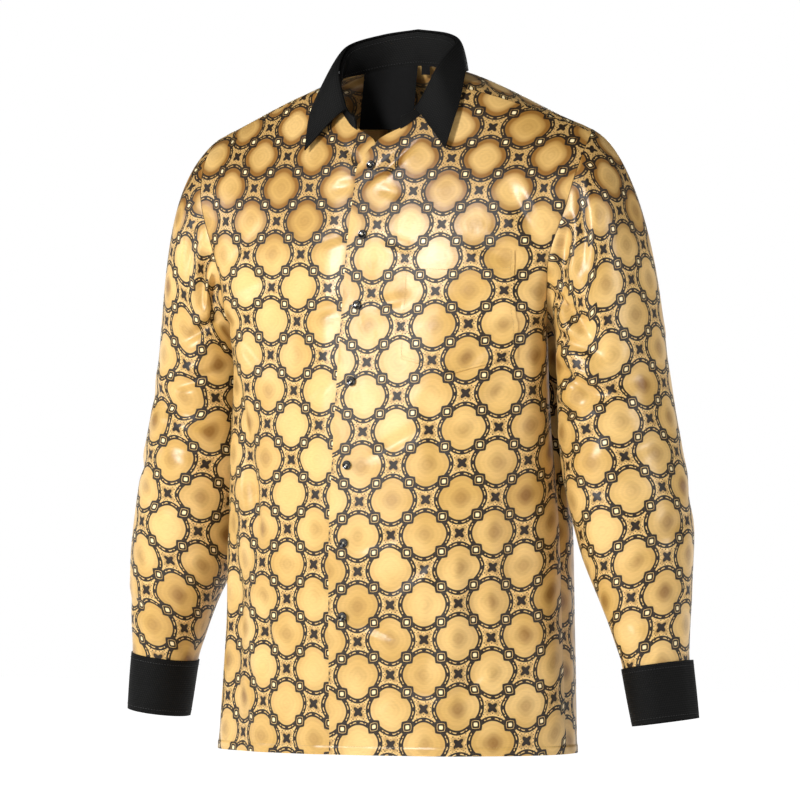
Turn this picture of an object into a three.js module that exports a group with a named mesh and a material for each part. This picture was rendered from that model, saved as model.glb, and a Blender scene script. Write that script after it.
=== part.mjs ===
// Long-sleeved woven shirt, as worn, hollow, with a contrast collar and cuffs.
// Millimetres. +Z is up, the front faces -Y, and +X is the wearer's left.
// The origin is the middle of the neck, level with the shoulder points of the neckline.
import * as THREE from 'three';
import { mergeVertices } from 'three/addons/utils/BufferGeometryUtils.js';

// Driving dimensions
const HEM_LEVEL = -804;
const CLOTH = 1.2;
const STIFF_CLOTH = 1.8;
const SEAM_GAP = 0.3;
const BUTTON_STAND = 20;
const UNDERLAP_DEPTH = 2.4;
const CUFF_HEIGHT = 68;
const CUFF_LAP = 22;
const BUTTON_RADIUS = 5.6;
const BUTTON_THICKNESS = 2.8;
const SMALL_BUTTON_SCALE = 0.85;
const PANEL_COLUMNS = 13;
const SLEEVE_SIDES = 22;

// Rows of the body run from at = 0 at the hem, by 1 at the armpit, to 2 on the shoulder ridge.
// Each row is a curve from its inner end (centre or neckline) to its outer end (side or armhole).
// A pull is the handle of that curve at the end it belongs to.
const ARMPIT = 1;
const RIDGE = 2;
const NECK_PIT_ROW = 1.6;
const NECK_BACK_ROW = 1.8;
const FRONT_YOKE_ROW = 1.93;
const BACK_YOKE_ROW = 1.5;

const SIDE = [
  { at: 0, p: [226, 0, HEM_LEVEL], frontPull: [0, -78, 0], backPull: [0, 78, 0] },
  { at: 0.32, p: [217, 5, -640], frontPull: [3, -78, 0], backPull: [2, 78, 0] },
  { at: 0.49, p: [213, 8, -553], frontPull: [12, -80, 0], backPull: [6, 76, 0] },
  { at: 0.67, p: [204, 12, -461], frontPull: [30, -78, 0], backPull: [14, 70, 0] },
  { at: 0.863, p: [194, 14, -362], frontPull: [54, -72, 0], backPull: [24, 62, 0] },
  { at: 1, p: [191, 12, -292], frontPull: [60, -70, 0], backPull: [28, 56, 0] },
];

const FRONT_CENTRE = [
  { at: 0, p: [0, -137, HEM_LEVEL], pull: [135, 0, 0] },
  { at: 0.32, p: [0, -139, -640], pull: [130, 0, 0] },
  { at: 0.49, p: [0, -138, -553], pull: [128, 0, 0] },
  { at: 0.67, p: [0, -130, -461], pull: [128, 0, 0] },
  { at: 0.863, p: [0, -118, -362], pull: [130, 0, 0] },
  { at: 1, p: [0, -108, -292], pull: [132, 0, 0] },
  { at: 1.15, p: [0, -102, -255], pull: [120, 0, 0] },
  { at: 1.3, p: [0, -95, -210], pull: [100, 0, 0] },
  { at: 1.45, p: [0, -77, -140], pull: [85, 0, -2] },
  { at: 1.6, p: [0, -60, -80], pull: [75, 0, -6] },
  { at: 1.72, p: [39, -44, -53], pull: [60, 0, -8] },
  { at: 1.84, p: [62, -28, -28], pull: [55, 0, -6] },
  { at: 1.93, p: [72, -12, -8], pull: [55, 2, -6] },
  { at: 2, p: [76, 4, 3], pull: [50, 6, -13] },
];

const BACK_CENTRE = [
  { at: 0, p: [0, 142, HEM_LEVEL], pull: [135, 0, 0] },
  { at: 0.32, p: [0, 148, -640], pull: [132, 0, 0] },
  { at: 0.49, p: [0, 148, -553], pull: [130, 0, 0] },
  { at: 0.67, p: [0, 144, -461], pull: [130, 0, 0] },
  { at: 0.863, p: [0, 138, -362], pull: [132, 0, 0] },
  { at: 1, p: [0, 134, -292], pull: [130, 0, 0] },
  { at: 1.25, p: [0, 121, -190], pull: [120, 0, 0] },
  { at: 1.5, p: [0, 101, -95], pull: [105, 0, 0] },
  { at: 1.65, p: [0, 82, -35], pull: [85, 0, 0] },
  { at: 1.8, p: [0, 58, 20], pull: [60, 0, 0] },
  { at: 1.87, p: [36, 52, 17], pull: [50, 3, -3] },
  { at: 1.94, p: [62, 32, 10], pull: [48, 5, -7] },
  { at: 2, p: [76, 4, 3], pull: [50, 6, -13] },
];

const FRONT_ARMHOLE = [
  { at: 1, p: [191, 12, -292], pull: [60, -70, 0] },
  { at: 1.07, p: [204, -9, -282], pull: [40, -56, 0] },
  { at: 1.15, p: [214, -30, -257], pull: [12, -44, 0] },
  { at: 1.3, p: [225, -45, -210], pull: [-30, -32, 0] },
  { at: 1.45, p: [247, -38, -142], pull: [-58, -20, 6] },
  { at: 1.6, p: [253, -16, -95], pull: [-66, -10, 16] },
  { at: 1.72, p: [253, -6, -84], pull: [-66, -8, 20] },
  { at: 1.84, p: [252, 6, -74], pull: [-64, -5, 23] },
  { at: 1.93, p: [250, 18, -66], pull: [-62, -4, 25] },
  { at: 2, p: [248, 30, -63], pull: [-58, -4, 25] },
];

const BACK_ARMHOLE = [
  { at: 1, p: [191, 12, -292], pull: [28, 56, 0] },
  { at: 1.1, p: [205, 44, -265], pull: [12, 46, 0] },
  { at: 1.2, p: [218, 69, -222], pull: [-16, 38, 0] },
  { at: 1.35, p: [234, 83, -165], pull: [-48, 24, 2] },
  { at: 1.5, p: [246, 78, -125], pull: [-58, 16, 8] },
  { at: 1.65, p: [249, 66, -100], pull: [-60, 14, 14] },
  { at: 1.8, p: [250, 53, -80], pull: [-62, 8, 20] },
  { at: 1.9, p: [250, 42, -69], pull: [-60, 3, 24] },
  { at: 2, p: [248, 30, -63], pull: [-58, -4, 25] },
];

// The sleeve's rings: near and wide are the half sizes towards and away from the body, deep the
// half size front to back.
const ARM = [
  { down: 350, x: 266, y: 36, near: 58, wide: 66, deep: 84 },
  { down: 400, x: 272, y: 36, near: 62, wide: 68, deep: 86 },
  { down: 450, x: 279, y: 36, near: 67, wide: 71, deep: 85 },
  { down: 534, x: 298, y: 36, near: 66, wide: 67, deep: 80 },
  { down: 612, x: 317, y: 27, near: 54, wide: 54, deep: 60 },
  { down: 660, x: 325, y: 26, near: 44, wide: 44, deep: 53 },
  { down: 697, x: 331, y: 26, near: 38, wide: 38, deep: 47 },
  { down: 765, x: 341, y: 28, near: 35, wide: 35, deep: 44 },
];
const SLEEVE_TOP_DOWN = 350;
const CUFF_TOP_DOWN = 697;

// The collar from the centre back (turn 0) to its front ends: roll is the top edge of the stand,
// edge is the outer edge of the turned-down leaf.
const COLLAR = [
  { turn: 0, roll: [0, 54, 60], edge: [0, 82, 14] },
  { turn: 0.3, roll: [42, 46, 54], edge: [50, 72, 11] },
  { turn: 0.58, roll: [70, 10, 38], edge: [86, 12, 12] },
  { turn: 0.76, roll: [64, -24, 9], edge: [98, -34, -38] },
  { turn: 0.9, roll: [44, -41, -38], edge: [94, -58, -85] },
];
const LEAF_END = 0.9;
const STAND_END = { turn: 1, roll: [31, -50, -45] };

// Folds pressed into the outer face: on the body by x and z, on the sleeves by degrees round
// (0 towards the body, 90 in front) and millimetres down. A negative depth is a ridge.
const BODY_FOLDS = [
  { side: 'front', from: [-196, -330], to: [-176, -470], width: 16, depth: 5 },
  { side: 'front', from: [196, -450], to: [188, -700], width: 15, depth: 5 },
  { side: 'front', from: [160, -520], to: [150, -770], width: 14, depth: 3.5 },
  { side: 'back', from: [90, -330], to: [70, -760], width: 26, depth: 7 },
  { side: 'back', from: [-80, -300], to: [-95, -740], width: 26, depth: 7 },
  { side: 'back', from: [170, -420], to: [160, -720], width: 18, depth: 5 },
  { side: 'back', from: [-168, -400], to: [-172, -700], width: 18, depth: 5 },
];
const SLEEVE_FOLDS = [
  { from: [70, 250], to: [112, 330], width: 13, depth: 6 },
  { from: [60, 400], to: [150, 352], width: 14, depth: 6 },
  { from: [40, 452], to: [110, 420], width: 14, depth: 5 },
  { from: [230, 330], to: [300, 420], width: 18, depth: 6 },
  { from: [215, 500], to: [300, 540], width: 18, depth: 6 },
  { from: [60, 640], to: [150, 655], width: 12, depth: 3.5 },
];

const BUTTON_LEVELS = [-104, -187, -271, -362, -461, -553, -640];
const POCKET = { left: 58, right: 190, top: -207, bottom: -352, point: 18 };
const LABEL = { left: -62, right: 0, bottom: -58, lean: 0.2, inset: 2.3 };
const TAB = { left: 5, right: 17, bottom: 8, lean: 0.1, inset: 0.4 };

const COLOURS = {
  satin: { color: 0xd9b465, roughness: 0.42, metalness: 0 },
  black: { color: 0x141412, roughness: 0.8, metalness: 0 },
  button: { color: 0x0d0d0d, roughness: 0.25, metalness: 0 },
};

// Small helpers on [x, y, z] points
const add = (a, b, k = 1) => a.map((value, i) => value + b[i] * k);
const blend = (a, b, k) => a.map((value, i) => value + (b[i] - value) * k);
const cross = (a, b) => [
  a[1] * b[2] - a[2] * b[1],
  a[2] * b[0] - a[0] * b[2],
  a[0] * b[1] - a[1] * b[0],
];
const distance = (a, b) => Math.hypot(a[0] - b[0], a[1] - b[1], a[2] - b[2]);
const unit = (a) => a.map((value) => value / Math.hypot(...a));
const mirror = (p) => [-p[0], p[1], p[2]];
const smooth = (x) => {
  const t = Math.min(1, Math.max(0, x));
  return t * t * (3 - 2 * t);
};

// A column of a table as a curve that never swings past its own rows.
function monotone(xs, ys) {
  const slopes = xs.slice(1).map((x, i) => (ys[i + 1] - ys[i]) / (x - xs[i]));
  const tangents = xs.map((_, i) => {
    if (i === 0) return slopes[0];
    if (i === xs.length - 1) return slopes[i - 1];
    if (slopes[i - 1] * slopes[i] <= 0) return 0;
    return (2 * slopes[i - 1] * slopes[i]) / (slopes[i - 1] + slopes[i]);
  });
  return (x) => {
    let i = 0;
    while (i < xs.length - 2 && x > xs[i + 1]) i += 1;
    const step = xs[i + 1] - xs[i];
    const t = (x - xs[i]) / step;
    const rise = tangents[i] * step;
    const run = tangents[i + 1] * step;
    const t2 = t * t;
    const t3 = t2 * t;
    return ys[i] * (2 * t3 - 3 * t2 + 1) + rise * (t3 - 2 * t2 + t)
      + ys[i + 1] * (3 * t2 - 2 * t3) + run * (t3 - t2);
  };
}

function pointColumn(rows, key, column) {
  const xs = rows.map((row) => row[key]);
  const axes = [0, 1, 2].map((i) => monotone(xs, rows.map((row) => row[column][i])));
  return (x) => axes.map((axis) => axis(x));
}

function numberColumn(rows, key, column) {
  return monotone(rows.map((row) => row[key]), rows.map((row) => row[column]));
}

function bezier(a, b, c, d, t) {
  const s = 1 - t;
  const weights = [s * s * s, 3 * s * s * t, 3 * s * t * t, t * t * t];
  return [0, 1, 2].map((i) => a[i] * weights[0] + b[i] * weights[1] + c[i] * weights[2]
    + d[i] * weights[3]);
}

function pressed(folds, u, v) {
  return folds.reduce((sum, fold) => {
    const along = [fold.to[0] - fold.from[0], fold.to[1] - fold.from[1]];
    const offset = [u - fold.from[0], v - fold.from[1]];
    const length2 = along[0] ** 2 + along[1] ** 2;
    const t = Math.min(1, Math.max(0, (offset[0] * along[0] + offset[1] * along[1]) / length2));
    const gap = Math.hypot(offset[0] - along[0] * t, offset[1] - along[1] * t);
    const taper = Math.sin(Math.PI * (0.1 + 0.8 * t));
    return sum + fold.depth * taper * Math.exp(-((gap / fold.width) ** 2));
  }, 0);
}

// Body surface of one half (wearer's left, x > 0) of the front or the back
function halfBody(centreRows, armholeRows, pullName) {
  const centre = pointColumn(centreRows, 'at', 'p');
  const centrePull = pointColumn(centreRows, 'at', 'pull');
  const side = pointColumn(SIDE, 'at', 'p');
  const sidePull = pointColumn(SIDE, 'at', pullName);
  const armhole = pointColumn(armholeRows, 'at', 'p');
  const armholePull = pointColumn(armholeRows, 'at', 'pull');
  return (s, at) => {
    const below = at <= ARMPIT;
    const outer = below ? side(at) : armhole(at);
    const outerPull = below ? sidePull(at) : armholePull(at);
    const inner = centre(at);
    return bezier(inner, add(inner, centrePull(at)), add(outer, outerPull), outer, s);
  };
}
const frontHalf = halfBody(FRONT_CENTRE, FRONT_ARMHOLE, 'frontPull');
const backHalf = halfBody(BACK_CENTRE, BACK_ARMHOLE, 'backPull');

// A body point of either half, with the folds pressed in. hand is 1 for the wearer's left.
function bodyPoint(part, hand, s, at) {
  const half = part === 'front' ? frontHalf : backHalf;
  const point = half(s, at);
  const step = 0.004;
  const across = add(half(Math.min(1, s + step), at), half(Math.max(0, s - step), at), -1);
  const up = add(half(s, Math.min(RIDGE, at + step)), half(s, Math.max(0, at - step)), -1);
  const normal = unit(part === 'front' ? cross(across, up) : cross(up, across));
  const folds = BODY_FOLDS.filter((fold) => fold.side === part);
  const fade = smooth((1 - s) / 0.12);
  const placed = add(point, normal, -fade * pressed(folds, point[0] * hand, point[2]));
  return hand > 0 ? placed : mirror(placed);
}

// The button stand continues a front past the centre line, mirrored from the other half.
function standPoint(hand, width, at) {
  const top = NECK_PIT_ROW - 0.06 * smooth(width / BUTTON_STAND);
  const row = at * (top / NECK_PIT_ROW);
  const pull = pointColumn(FRONT_CENTRE, 'at', 'pull')(row);
  const point = frontHalf(width / (3 * pull[0]), row);
  return [-hand * width, point[1], point[2]];
}

// The under front lies behind the lapping front near the centre.
function sunk(point, hand) {
  const past = point[0] * hand;
  const reach = 1 - smooth((past - BUTTON_STAND - 2) / 26);
  return [point[0], point[1] + UNDERLAP_DEPTH * reach, point[2]];
}

// A patch of cloth is a set of grids that share their edges.
function grid(at, columns, rows) {
  const points = [];
  const faces = [];
  rows.forEach((row) => columns.forEach((column) => points.push(at(column, row))));
  const width = columns.length;
  for (let j = 0; j < rows.length - 1; j += 1) {
    for (let i = 0; i < width - 1; i += 1) {
      const a = j * width + i;
      faces.push([a, a + 1, a + width + 1], [a, a + width + 1, a + width]);
    }
  }
  return { points, faces };
}

function steps(from, to, count) {
  return Array.from({ length: count + 1 }, (_, i) => from + ((to - from) * i) / count);
}

function flipped(patch) {
  return { points: patch.points, faces: patch.faces.map(([a, b, c]) => [a, c, b]) };
}

function welded(patches) {
  const points = [];
  const faces = [];
  const known = new Map();
  patches.forEach((patch) => {
    const index = patch.points.map((p) => {
      const key = p.map((value) => Math.round(value * 50)).join();
      if (!known.has(key)) {
        known.set(key, points.length);
        points.push(p);
      }
      return known.get(key);
    });
    patch.faces.forEach((face) => {
      const [a, b, c] = face.map((i) => index[i]);
      if (a !== b && b !== c && c !== a) faces.push([a, b, c]);
    });
  });
  return { points, faces };
}

// Gives a patch its thickness inwards, away from its outer face, with rims at every open edge.
function thickened({ points, faces }, thickness) {
  const normals = points.map(() => [0, 0, 0]);
  const edges = new Map();
  faces.forEach(([a, b, c]) => {
    const normal = cross(add(points[b], points[a], -1), add(points[c], points[a], -1));
    [a, b, c].forEach((i) => { normals[i] = add(normals[i], normal); });
    [[a, b], [b, c], [c, a]].forEach(([from, to]) => edges.set(`${from},${to}`, [from, to]));
  });
  const count = points.length;
  const inner = points.map((p, i) => add(p, unit(normals[i]), -thickness));
  const rims = [...edges.values()].filter(([from, to]) => !edges.has(`${to},${from}`));
  const all = [
    ...faces,
    ...faces.map(([a, b, c]) => [a + count, c + count, b + count]),
    ...rims.flatMap(([from, to]) => [[to, from, from + count], [to, from + count, to + count]]),
  ];
  const geometry = new THREE.BufferGeometry();
  const values = [...points, ...inner].flat();
  geometry.setAttribute('position', new THREE.Float32BufferAttribute(values, 3));
  geometry.setIndex(all.flat());
  return geometry;
}

const shirt = new THREE.Group();

function place(name, geometry, finish) {
  const shaded = geometry;
  shaded.computeVertexNormals();
  const mesh = new THREE.Mesh(shaded, new THREE.MeshStandardMaterial(COLOURS[finish]));
  mesh.name = name;
  shirt.add(mesh);
}

function cloth(name, patches, finish = 'satin', thickness = CLOTH) {
  place(name, thickened(welded(patches), thickness), finish);
}

// Rows and columns of the panels, held back from each seam by about half the gap: the trims are
// shares of a row's length and of the way from one row to the next.
const SIDE_TRIM = SEAM_GAP / 430;
const ROW_TRIM = SEAM_GAP / 500;
const FRONT_YOKE_TRIM = SEAM_GAP / 83;
const columns = steps(0, 1 - SIDE_TRIM, PANEL_COLUMNS - 1);
const lowerRows = [...steps(0, 0.9, 9), 0.95];
const armRows = [1, 1.035, 1.07, 1.11, 1.15, 1.22, 1.3, 1.375, 1.45, 1.53];

// Fronts
function frontPatches(hand, shape) {
  const body = [...lowerRows, ...armRows, 1.6, 1.66, 1.72, 1.78, 1.84, FRONT_YOKE_ROW - FRONT_YOKE_TRIM];
  const stand = [...lowerRows, ...armRows, NECK_PIT_ROW];
  const main = grid((s, at) => shape(bodyPoint('front', hand, s, at)), columns, body);
  const strip = grid(
    (width, at) => shape(width === 0 ? bodyPoint('front', hand, 0, at) : standPoint(hand, width, at)),
    [BUTTON_STAND, BUTTON_STAND / 2, 0],
    stand,
  );
  return hand > 0 ? [main, strip] : [flipped(main), flipped(strip)];
}
cloth('front_left', frontPatches(1, (p) => p));
cloth('front_right', frontPatches(-1, (p) => sunk(p, -1)));

// Back and yoke, each of two halves joined at the centre
function backPatches(rows, hand) {
  const patch = grid((s, at) => bodyPoint('back', hand, s, at), columns, rows);
  return hand > 0 ? flipped(patch) : patch;
}
const backRows = [...lowerRows, 1, 1.05, 1.1, 1.15, 1.2, 1.27, 1.35, 1.43, BACK_YOKE_ROW - ROW_TRIM];
cloth('back', [backPatches(backRows, 1), backPatches(backRows, -1)]);

const yokeBackRows = [BACK_YOKE_ROW + ROW_TRIM, 1.58, 1.65, 1.73, NECK_BACK_ROW, 1.85, 1.9, 1.95, RIDGE];
const yokeFrontRows = [FRONT_YOKE_ROW + FRONT_YOKE_TRIM, 1.965, RIDGE];
function yokeFront(hand) {
  const patch = grid((s, at) => bodyPoint('front', hand, s, at), columns, yokeFrontRows);
  return hand > 0 ? patch : flipped(patch);
}
cloth('yoke', [backPatches(yokeBackRows, 1), backPatches(yokeBackRows, -1), yokeFront(1), yokeFront(-1)]);

// A walk along a chain of points by share of its length
function walk(points) {
  const lengths = [0];
  points.slice(1).forEach((p, i) => lengths.push(lengths[i] + distance(p, points[i])));
  const total = lengths[lengths.length - 1];
  return (share) => {
    const target = Math.min(1, Math.max(0, share)) * total;
    let i = 0;
    while (i < points.length - 2 && lengths[i + 1] < target) i += 1;
    return blend(points[i], points[i + 1], (target - lengths[i]) / (lengths[i + 1] - lengths[i]));
  };
}

// Sleeves. Round 0 and 1 are the underarm seam, 0.25 faces front, 0.5 runs over the shoulder.
const frontHole = walk(steps(ARMPIT, RIDGE, 60).map((at) => frontHalf(1, at)));
const backHole = walk(steps(ARMPIT, RIDGE, 60).map((at) => backHalf(1, at)));
const armholeAt = (round) => (round < 0.5 ? frontHole(round * 2) : backHole(2 - round * 2));

const armX = numberColumn(ARM, 'down', 'x');
const armY = numberColumn(ARM, 'down', 'y');
const armNear = numberColumn(ARM, 'down', 'near');
const armWide = numberColumn(ARM, 'down', 'wide');
const armDeep = numberColumn(ARM, 'down', 'deep');

function ringPoint(round, down, spread = 0) {
  const turn = round * 2 * Math.PI;
  const lean = (armX(down + 5) - armX(down - 5)) / 10;
  const half = Math.cos(turn) > 0 ? armNear(down) : armWide(down);
  const out = -Math.cos(turn) * (half + spread);
  const back = -Math.sin(turn) * (armDeep(down) + spread);
  return [armX(down) + out, armY(down) + back, -down + out * lean];
}

// Between the armhole and the first ring the sleeve leaves the seam and turns down the arm.
function capPoint(round, share) {
  const top = (1 - Math.cos(round * 2 * Math.PI)) / 2;
  const sway = Math.sin(round * 2 * Math.PI);
  const heading = unit([0.9, -0.18 * sway, -0.32 - 0.14 * top]);
  const start = add(armholeAt(round), heading, SEAM_GAP * 2);
  const end = ringPoint(round, SLEEVE_TOP_DOWN);
  const leave = 42 + 150 * top;
  const arrive = 44 + 150 * top;
  const down = unit([0.15, 0, -1]);
  return bezier(start, add(start, heading, leave / 3), add(end, down, -arrive / 3), end, share);
}

const CAP_SHARE = 0.4;
function plainSleeve(round, share) {
  if (share <= CAP_SHARE) return capPoint(round, share / CAP_SHARE);
  const bottom = CUFF_TOP_DOWN - SEAM_GAP;
  const k = (share - CAP_SHARE) / (1 - CAP_SHARE);
  return ringPoint(round, SLEEVE_TOP_DOWN + k * (bottom - SLEEVE_TOP_DOWN));
}

function sleeveNormal(round, share) {
  const step = 0.002;
  const low = Math.max(0.0005, share - step);
  const high = Math.min(0.9995, share + step);
  const across = add(plainSleeve((round + step) % 1, share), plainSleeve((round + 1 - step) % 1, share), -1);
  const along = add(plainSleeve(round, high), plainSleeve(round, low), -1);
  return unit(cross(along, across));
}

function sleevePoint(round, share, hand, lift = 0) {
  const point = plainSleeve(round, share);
  const degrees = round * 360;
  const fade = smooth(share / 0.08) * smooth((1 - share) / 0.05);
  const wearer = hand > 0 ? SLEEVE_FOLDS : SLEEVE_FOLDS.slice(1);
  const depth = fade * pressed(wearer, degrees, -point[2]);
  const placed = add(point, sleeveNormal(round, share), lift - depth);
  return hand > 0 ? placed : mirror(placed);
}

const rounds = steps(0, 1, SLEEVE_SIDES);
const shares = [0, 0.04, 0.09, 0.15, 0.21, 0.27, 0.33, 0.4, 0.46, 0.52, 0.58, 0.64, 0.7, 0.76, 0.82, 0.88,
  0.94, 1];
function sleevePatch(hand) {
  const patch = grid((round, share) => sleevePoint(round % 1, share, hand), rounds, shares);
  return hand > 0 ? flipped(patch) : patch;
}
cloth('sleeve_left', [sleevePatch(1)]);
cloth('sleeve_right', [sleevePatch(-1)]);

// The slit above each cuff is bound by a strip on the back of the sleeve.
const PLACKET = {
  from: 15 / SLEEVE_SIDES,
  to: 16 / SLEEVE_SIDES,
  shares: [0.7, 0.76, 0.82, 0.88, 0.94, 0.98],
};
function sleevePlacket(hand) {
  const lift = CLOTH + 0.9;
  const patch = grid(
    (round, share) => sleevePoint(round, share, hand, lift),
    steps(PLACKET.from, PLACKET.to, 1),
    PLACKET.shares,
  );
  return hand > 0 ? flipped(patch) : patch;
}
cloth('sleeve_placket_left', [sleevePlacket(1)]);
cloth('sleeve_placket_right', [sleevePlacket(-1)]);

// Cuffs are bands whose ends lap at the back, the outer end over the inner one.
const CUFF_SPREAD = 1.6;
const CUFF_START = 0.66;
function cuffPoint(round, share, hand, lift = 0) {
  const turn = round * 2 * Math.PI;
  const girth = Math.PI * (armWide(730) + armDeep(730));
  const lap = CUFF_LAP / girth;
  const climb = (STIFF_CLOTH + SEAM_GAP * 2) * smooth((round - CUFF_START - 1 + lap * 2) / lap);
  const down = CUFF_TOP_DOWN + share * CUFF_HEIGHT;
  const point = ringPoint(turn / (2 * Math.PI), down, CUFF_SPREAD + climb + lift);
  return hand > 0 ? point : mirror(point);
}
function cuffPatch(hand) {
  const girth = Math.PI * (armWide(730) + armDeep(730));
  const patch = grid(
    (round, share) => cuffPoint(round, share, hand),
    steps(CUFF_START, CUFF_START + 1 + CUFF_LAP / girth, 26),
    steps(0, 1, 3),
  );
  return hand > 0 ? flipped(patch) : patch;
}
cloth('cuff_left', [cuffPatch(1)], 'black', STIFF_CLOTH);
cloth('cuff_right', [cuffPatch(-1)], 'black', STIFF_CLOTH);

// Neckline from the centre back to the front end of the collar stand
const necklineHalf = walk([
  ...steps(NECK_BACK_ROW, RIDGE, 24).map((at) => backHalf(0, at)),
  ...steps(RIDGE, 1.69, 36).slice(1).map((at) => frontHalf(0, at)),
]);
const collarRoll = pointColumn([...COLLAR, STAND_END], 'turn', 'roll');
const collarEdge = pointColumn(COLLAR, 'turn', 'edge');

function handed(point, turn) {
  return turn < 0 ? mirror(point) : point;
}

const STAND_RISE = 1.2;
function standWall(turn, share) {
  const size = Math.abs(turn);
  const base = add(necklineHalf(size), [0, 0, STAND_RISE]);
  return handed(blend(base, collarRoll(size), share), turn);
}
const standTurns = [...steps(-1, -0.9, 2), ...steps(-0.84, 0.84, 22), ...steps(0.9, 1, 2)];
cloth('collar_stand', [grid(standWall, standTurns, steps(0, 1, 3))], 'black', STIFF_CLOTH);

function leafPoint(turn, share) {
  const size = Math.abs(turn);
  const out = unit([collarRoll(size)[0] * 0.7, collarRoll(size)[1] + 0.001, 0]);
  const top = add(add(collarRoll(size), out, STIFF_CLOTH + SEAM_GAP), [0, 0, 1.5]);
  const edge = collarEdge(size);
  const shoulder = add(add(top, out, 6), [0, 0, 3]);
  const fall = add(blend(edge, top, 0.4), out, 3);
  return handed(bezier(top, shoulder, fall, edge, share), turn);
}
const leafTurns = steps(-LEAF_END, LEAF_END, 30);
cloth('collar_leaf', [flipped(grid(leafPoint, leafTurns, steps(0, 1, 5)))], 'black', STIFF_CLOTH);

// The point of a half body panel at a given x and height, and its outward normal there
function onBody(part, x, z, inset = 0) {
  const hand = x < 0 ? -1 : 1;
  const find = (low, high, above) => {
    let [from, to] = [low, high];
    for (let i = 0; i < 26; i += 1) {
      const middle = (from + to) / 2;
      if (above(middle)) to = middle;
      else from = middle;
    }
    return (from + to) / 2;
  };
  const acrossAt = (at) => find(0, 0.9, (s) => bodyPoint(part, 1, s, at)[0] > Math.abs(x));
  const top = part === 'front' ? NECK_PIT_ROW : NECK_BACK_ROW;
  const at = find(0, top, (row) => bodyPoint(part, hand, acrossAt(row), row)[2] > z);
  const s = acrossAt(at);
  const half = part === 'front' ? frontHalf : backHalf;
  const across = add(half(s + 0.01, at), half(Math.max(0, s - 0.01), at), -1);
  const up = add(half(s, at + 0.01), half(s, at - 0.01), -1);
  const normal = unit(part === 'front' ? cross(across, up) : cross(up, across));
  const outward = hand > 0 ? normal : mirror(normal);
  return { point: add(bodyPoint(part, hand, s, at), outward, inset), normal: outward };
}

// Patch pocket, whose lower edge comes to a blunt point
const POCKET_LIFT = CLOTH + 0.9;
function pocketPoint(across, share) {
  const middle = 1 - Math.abs(across * 2 - 1);
  const x = POCKET.left + across * (POCKET.right - POCKET.left);
  const lowest = POCKET.bottom + POCKET.point * (1 - middle);
  return onBody('front', x, lowest + share * (POCKET.top - lowest), POCKET_LIFT).point;
}
cloth('pocket', [grid(pocketPoint, steps(0, 1, 8), steps(0, 1, 6))]);

// Neck label and size tab: sewn along the top to the back neck seam, hanging free below
const LABEL_DROP = 0.8;
function backNeckSeam(x) {
  let [low, high] = [NECK_BACK_ROW, RIDGE];
  for (let i = 0; i < 30; i += 1) {
    const middle = (low + high) / 2;
    if (backHalf(0, middle)[0] < Math.abs(x)) low = middle;
    else high = middle;
  }
  const [, y, z] = backHalf(0, low);
  return [x, y, z];
}
function hangingLabel(box) {
  const patch = grid(
    (x, share) => {
      const [seamX, seamY, seamZ] = backNeckSeam(x);
      const inward = 1 - box.inset / Math.hypot(seamX, seamY);
      const top = seamZ - LABEL_DROP;
      const fall = (1 - share) * (top - box.bottom);
      return [seamX * inward, seamY * inward - box.lean * fall, top - fall];
    },
    steps(box.left, box.right, 4),
    steps(0, 1, 4),
  );
  return flipped(patch);
}
cloth('neck_label', [hangingLabel(LABEL)], 'black', 0.8);
cloth('size_tab', [hangingLabel(TAB)], 'black', 0.6);

// Buttons: a round rim, a dished face, lying flat on the cloth
function buttonGeometry(scale = 1) {
  const profile = [
    [0, 0],
    [0.82, 0],
    [1, 0.3],
    [1, 0.75],
    [0.86, 1],
    [0.66, 0.82],
    [0, 0.7],
  ].map(([radius, height]) => new THREE.Vector2(
    radius * BUTTON_RADIUS * scale,
    height * BUTTON_THICKNESS * scale,
  ));
  const lathe = new THREE.LatheGeometry(profile, 12);
  lathe.deleteAttribute('uv');
  lathe.deleteAttribute('normal');
  const button = mergeVertices(lathe, 0.001);
  button.rotateX(Math.PI / 2);
  return button;
}

function placeButton(name, point, normal, scale = 1) {
  const geometry = buttonGeometry(scale);
  const turn = new THREE.Quaternion().setFromUnitVectors(
    new THREE.Vector3(0, 0, 1),
    new THREE.Vector3(...normal),
  );
  geometry.applyQuaternion(turn);
  geometry.translate(...point);
  place(name, geometry, 'button');
}

BUTTON_LEVELS.forEach((level, i) => {
  const { point, normal } = onBody('front', 0.01, level, SEAM_GAP);
  placeButton(`button_${i + 1}`, point, normal);
});

// The stand's button sits on the wearer's right end of the stand, and one on the back of each cuff.
function buttonOn(name, surface, u, v, scale) {
  const step = 0.01;
  const normal = unit(cross(
    add(surface(u + step, v), surface(u - step, v), -1),
    add(surface(u, v + step), surface(u, v - step), -1),
  ));
  placeButton(name, add(surface(u, v), normal, SEAM_GAP), normal, scale);
}
buttonOn('stand_button', standWall, -0.94, 0.62, SMALL_BUTTON_SCALE);
const cuffButtonRound = CUFF_START + 1 + 0.02;
buttonOn('cuff_button_left', (u, v) => cuffPoint(u, 1 - v, 1), cuffButtonRound, 0.5, SMALL_BUTTON_SCALE);
buttonOn('cuff_button_right', (u, v) => cuffPoint(u, v, -1), cuffButtonRound, 0.5, SMALL_BUTTON_SCALE);

export default shirt;
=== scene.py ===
"""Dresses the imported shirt: fine cloth on the form of each solid, its print, weave, seams and folds."""
import math

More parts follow.
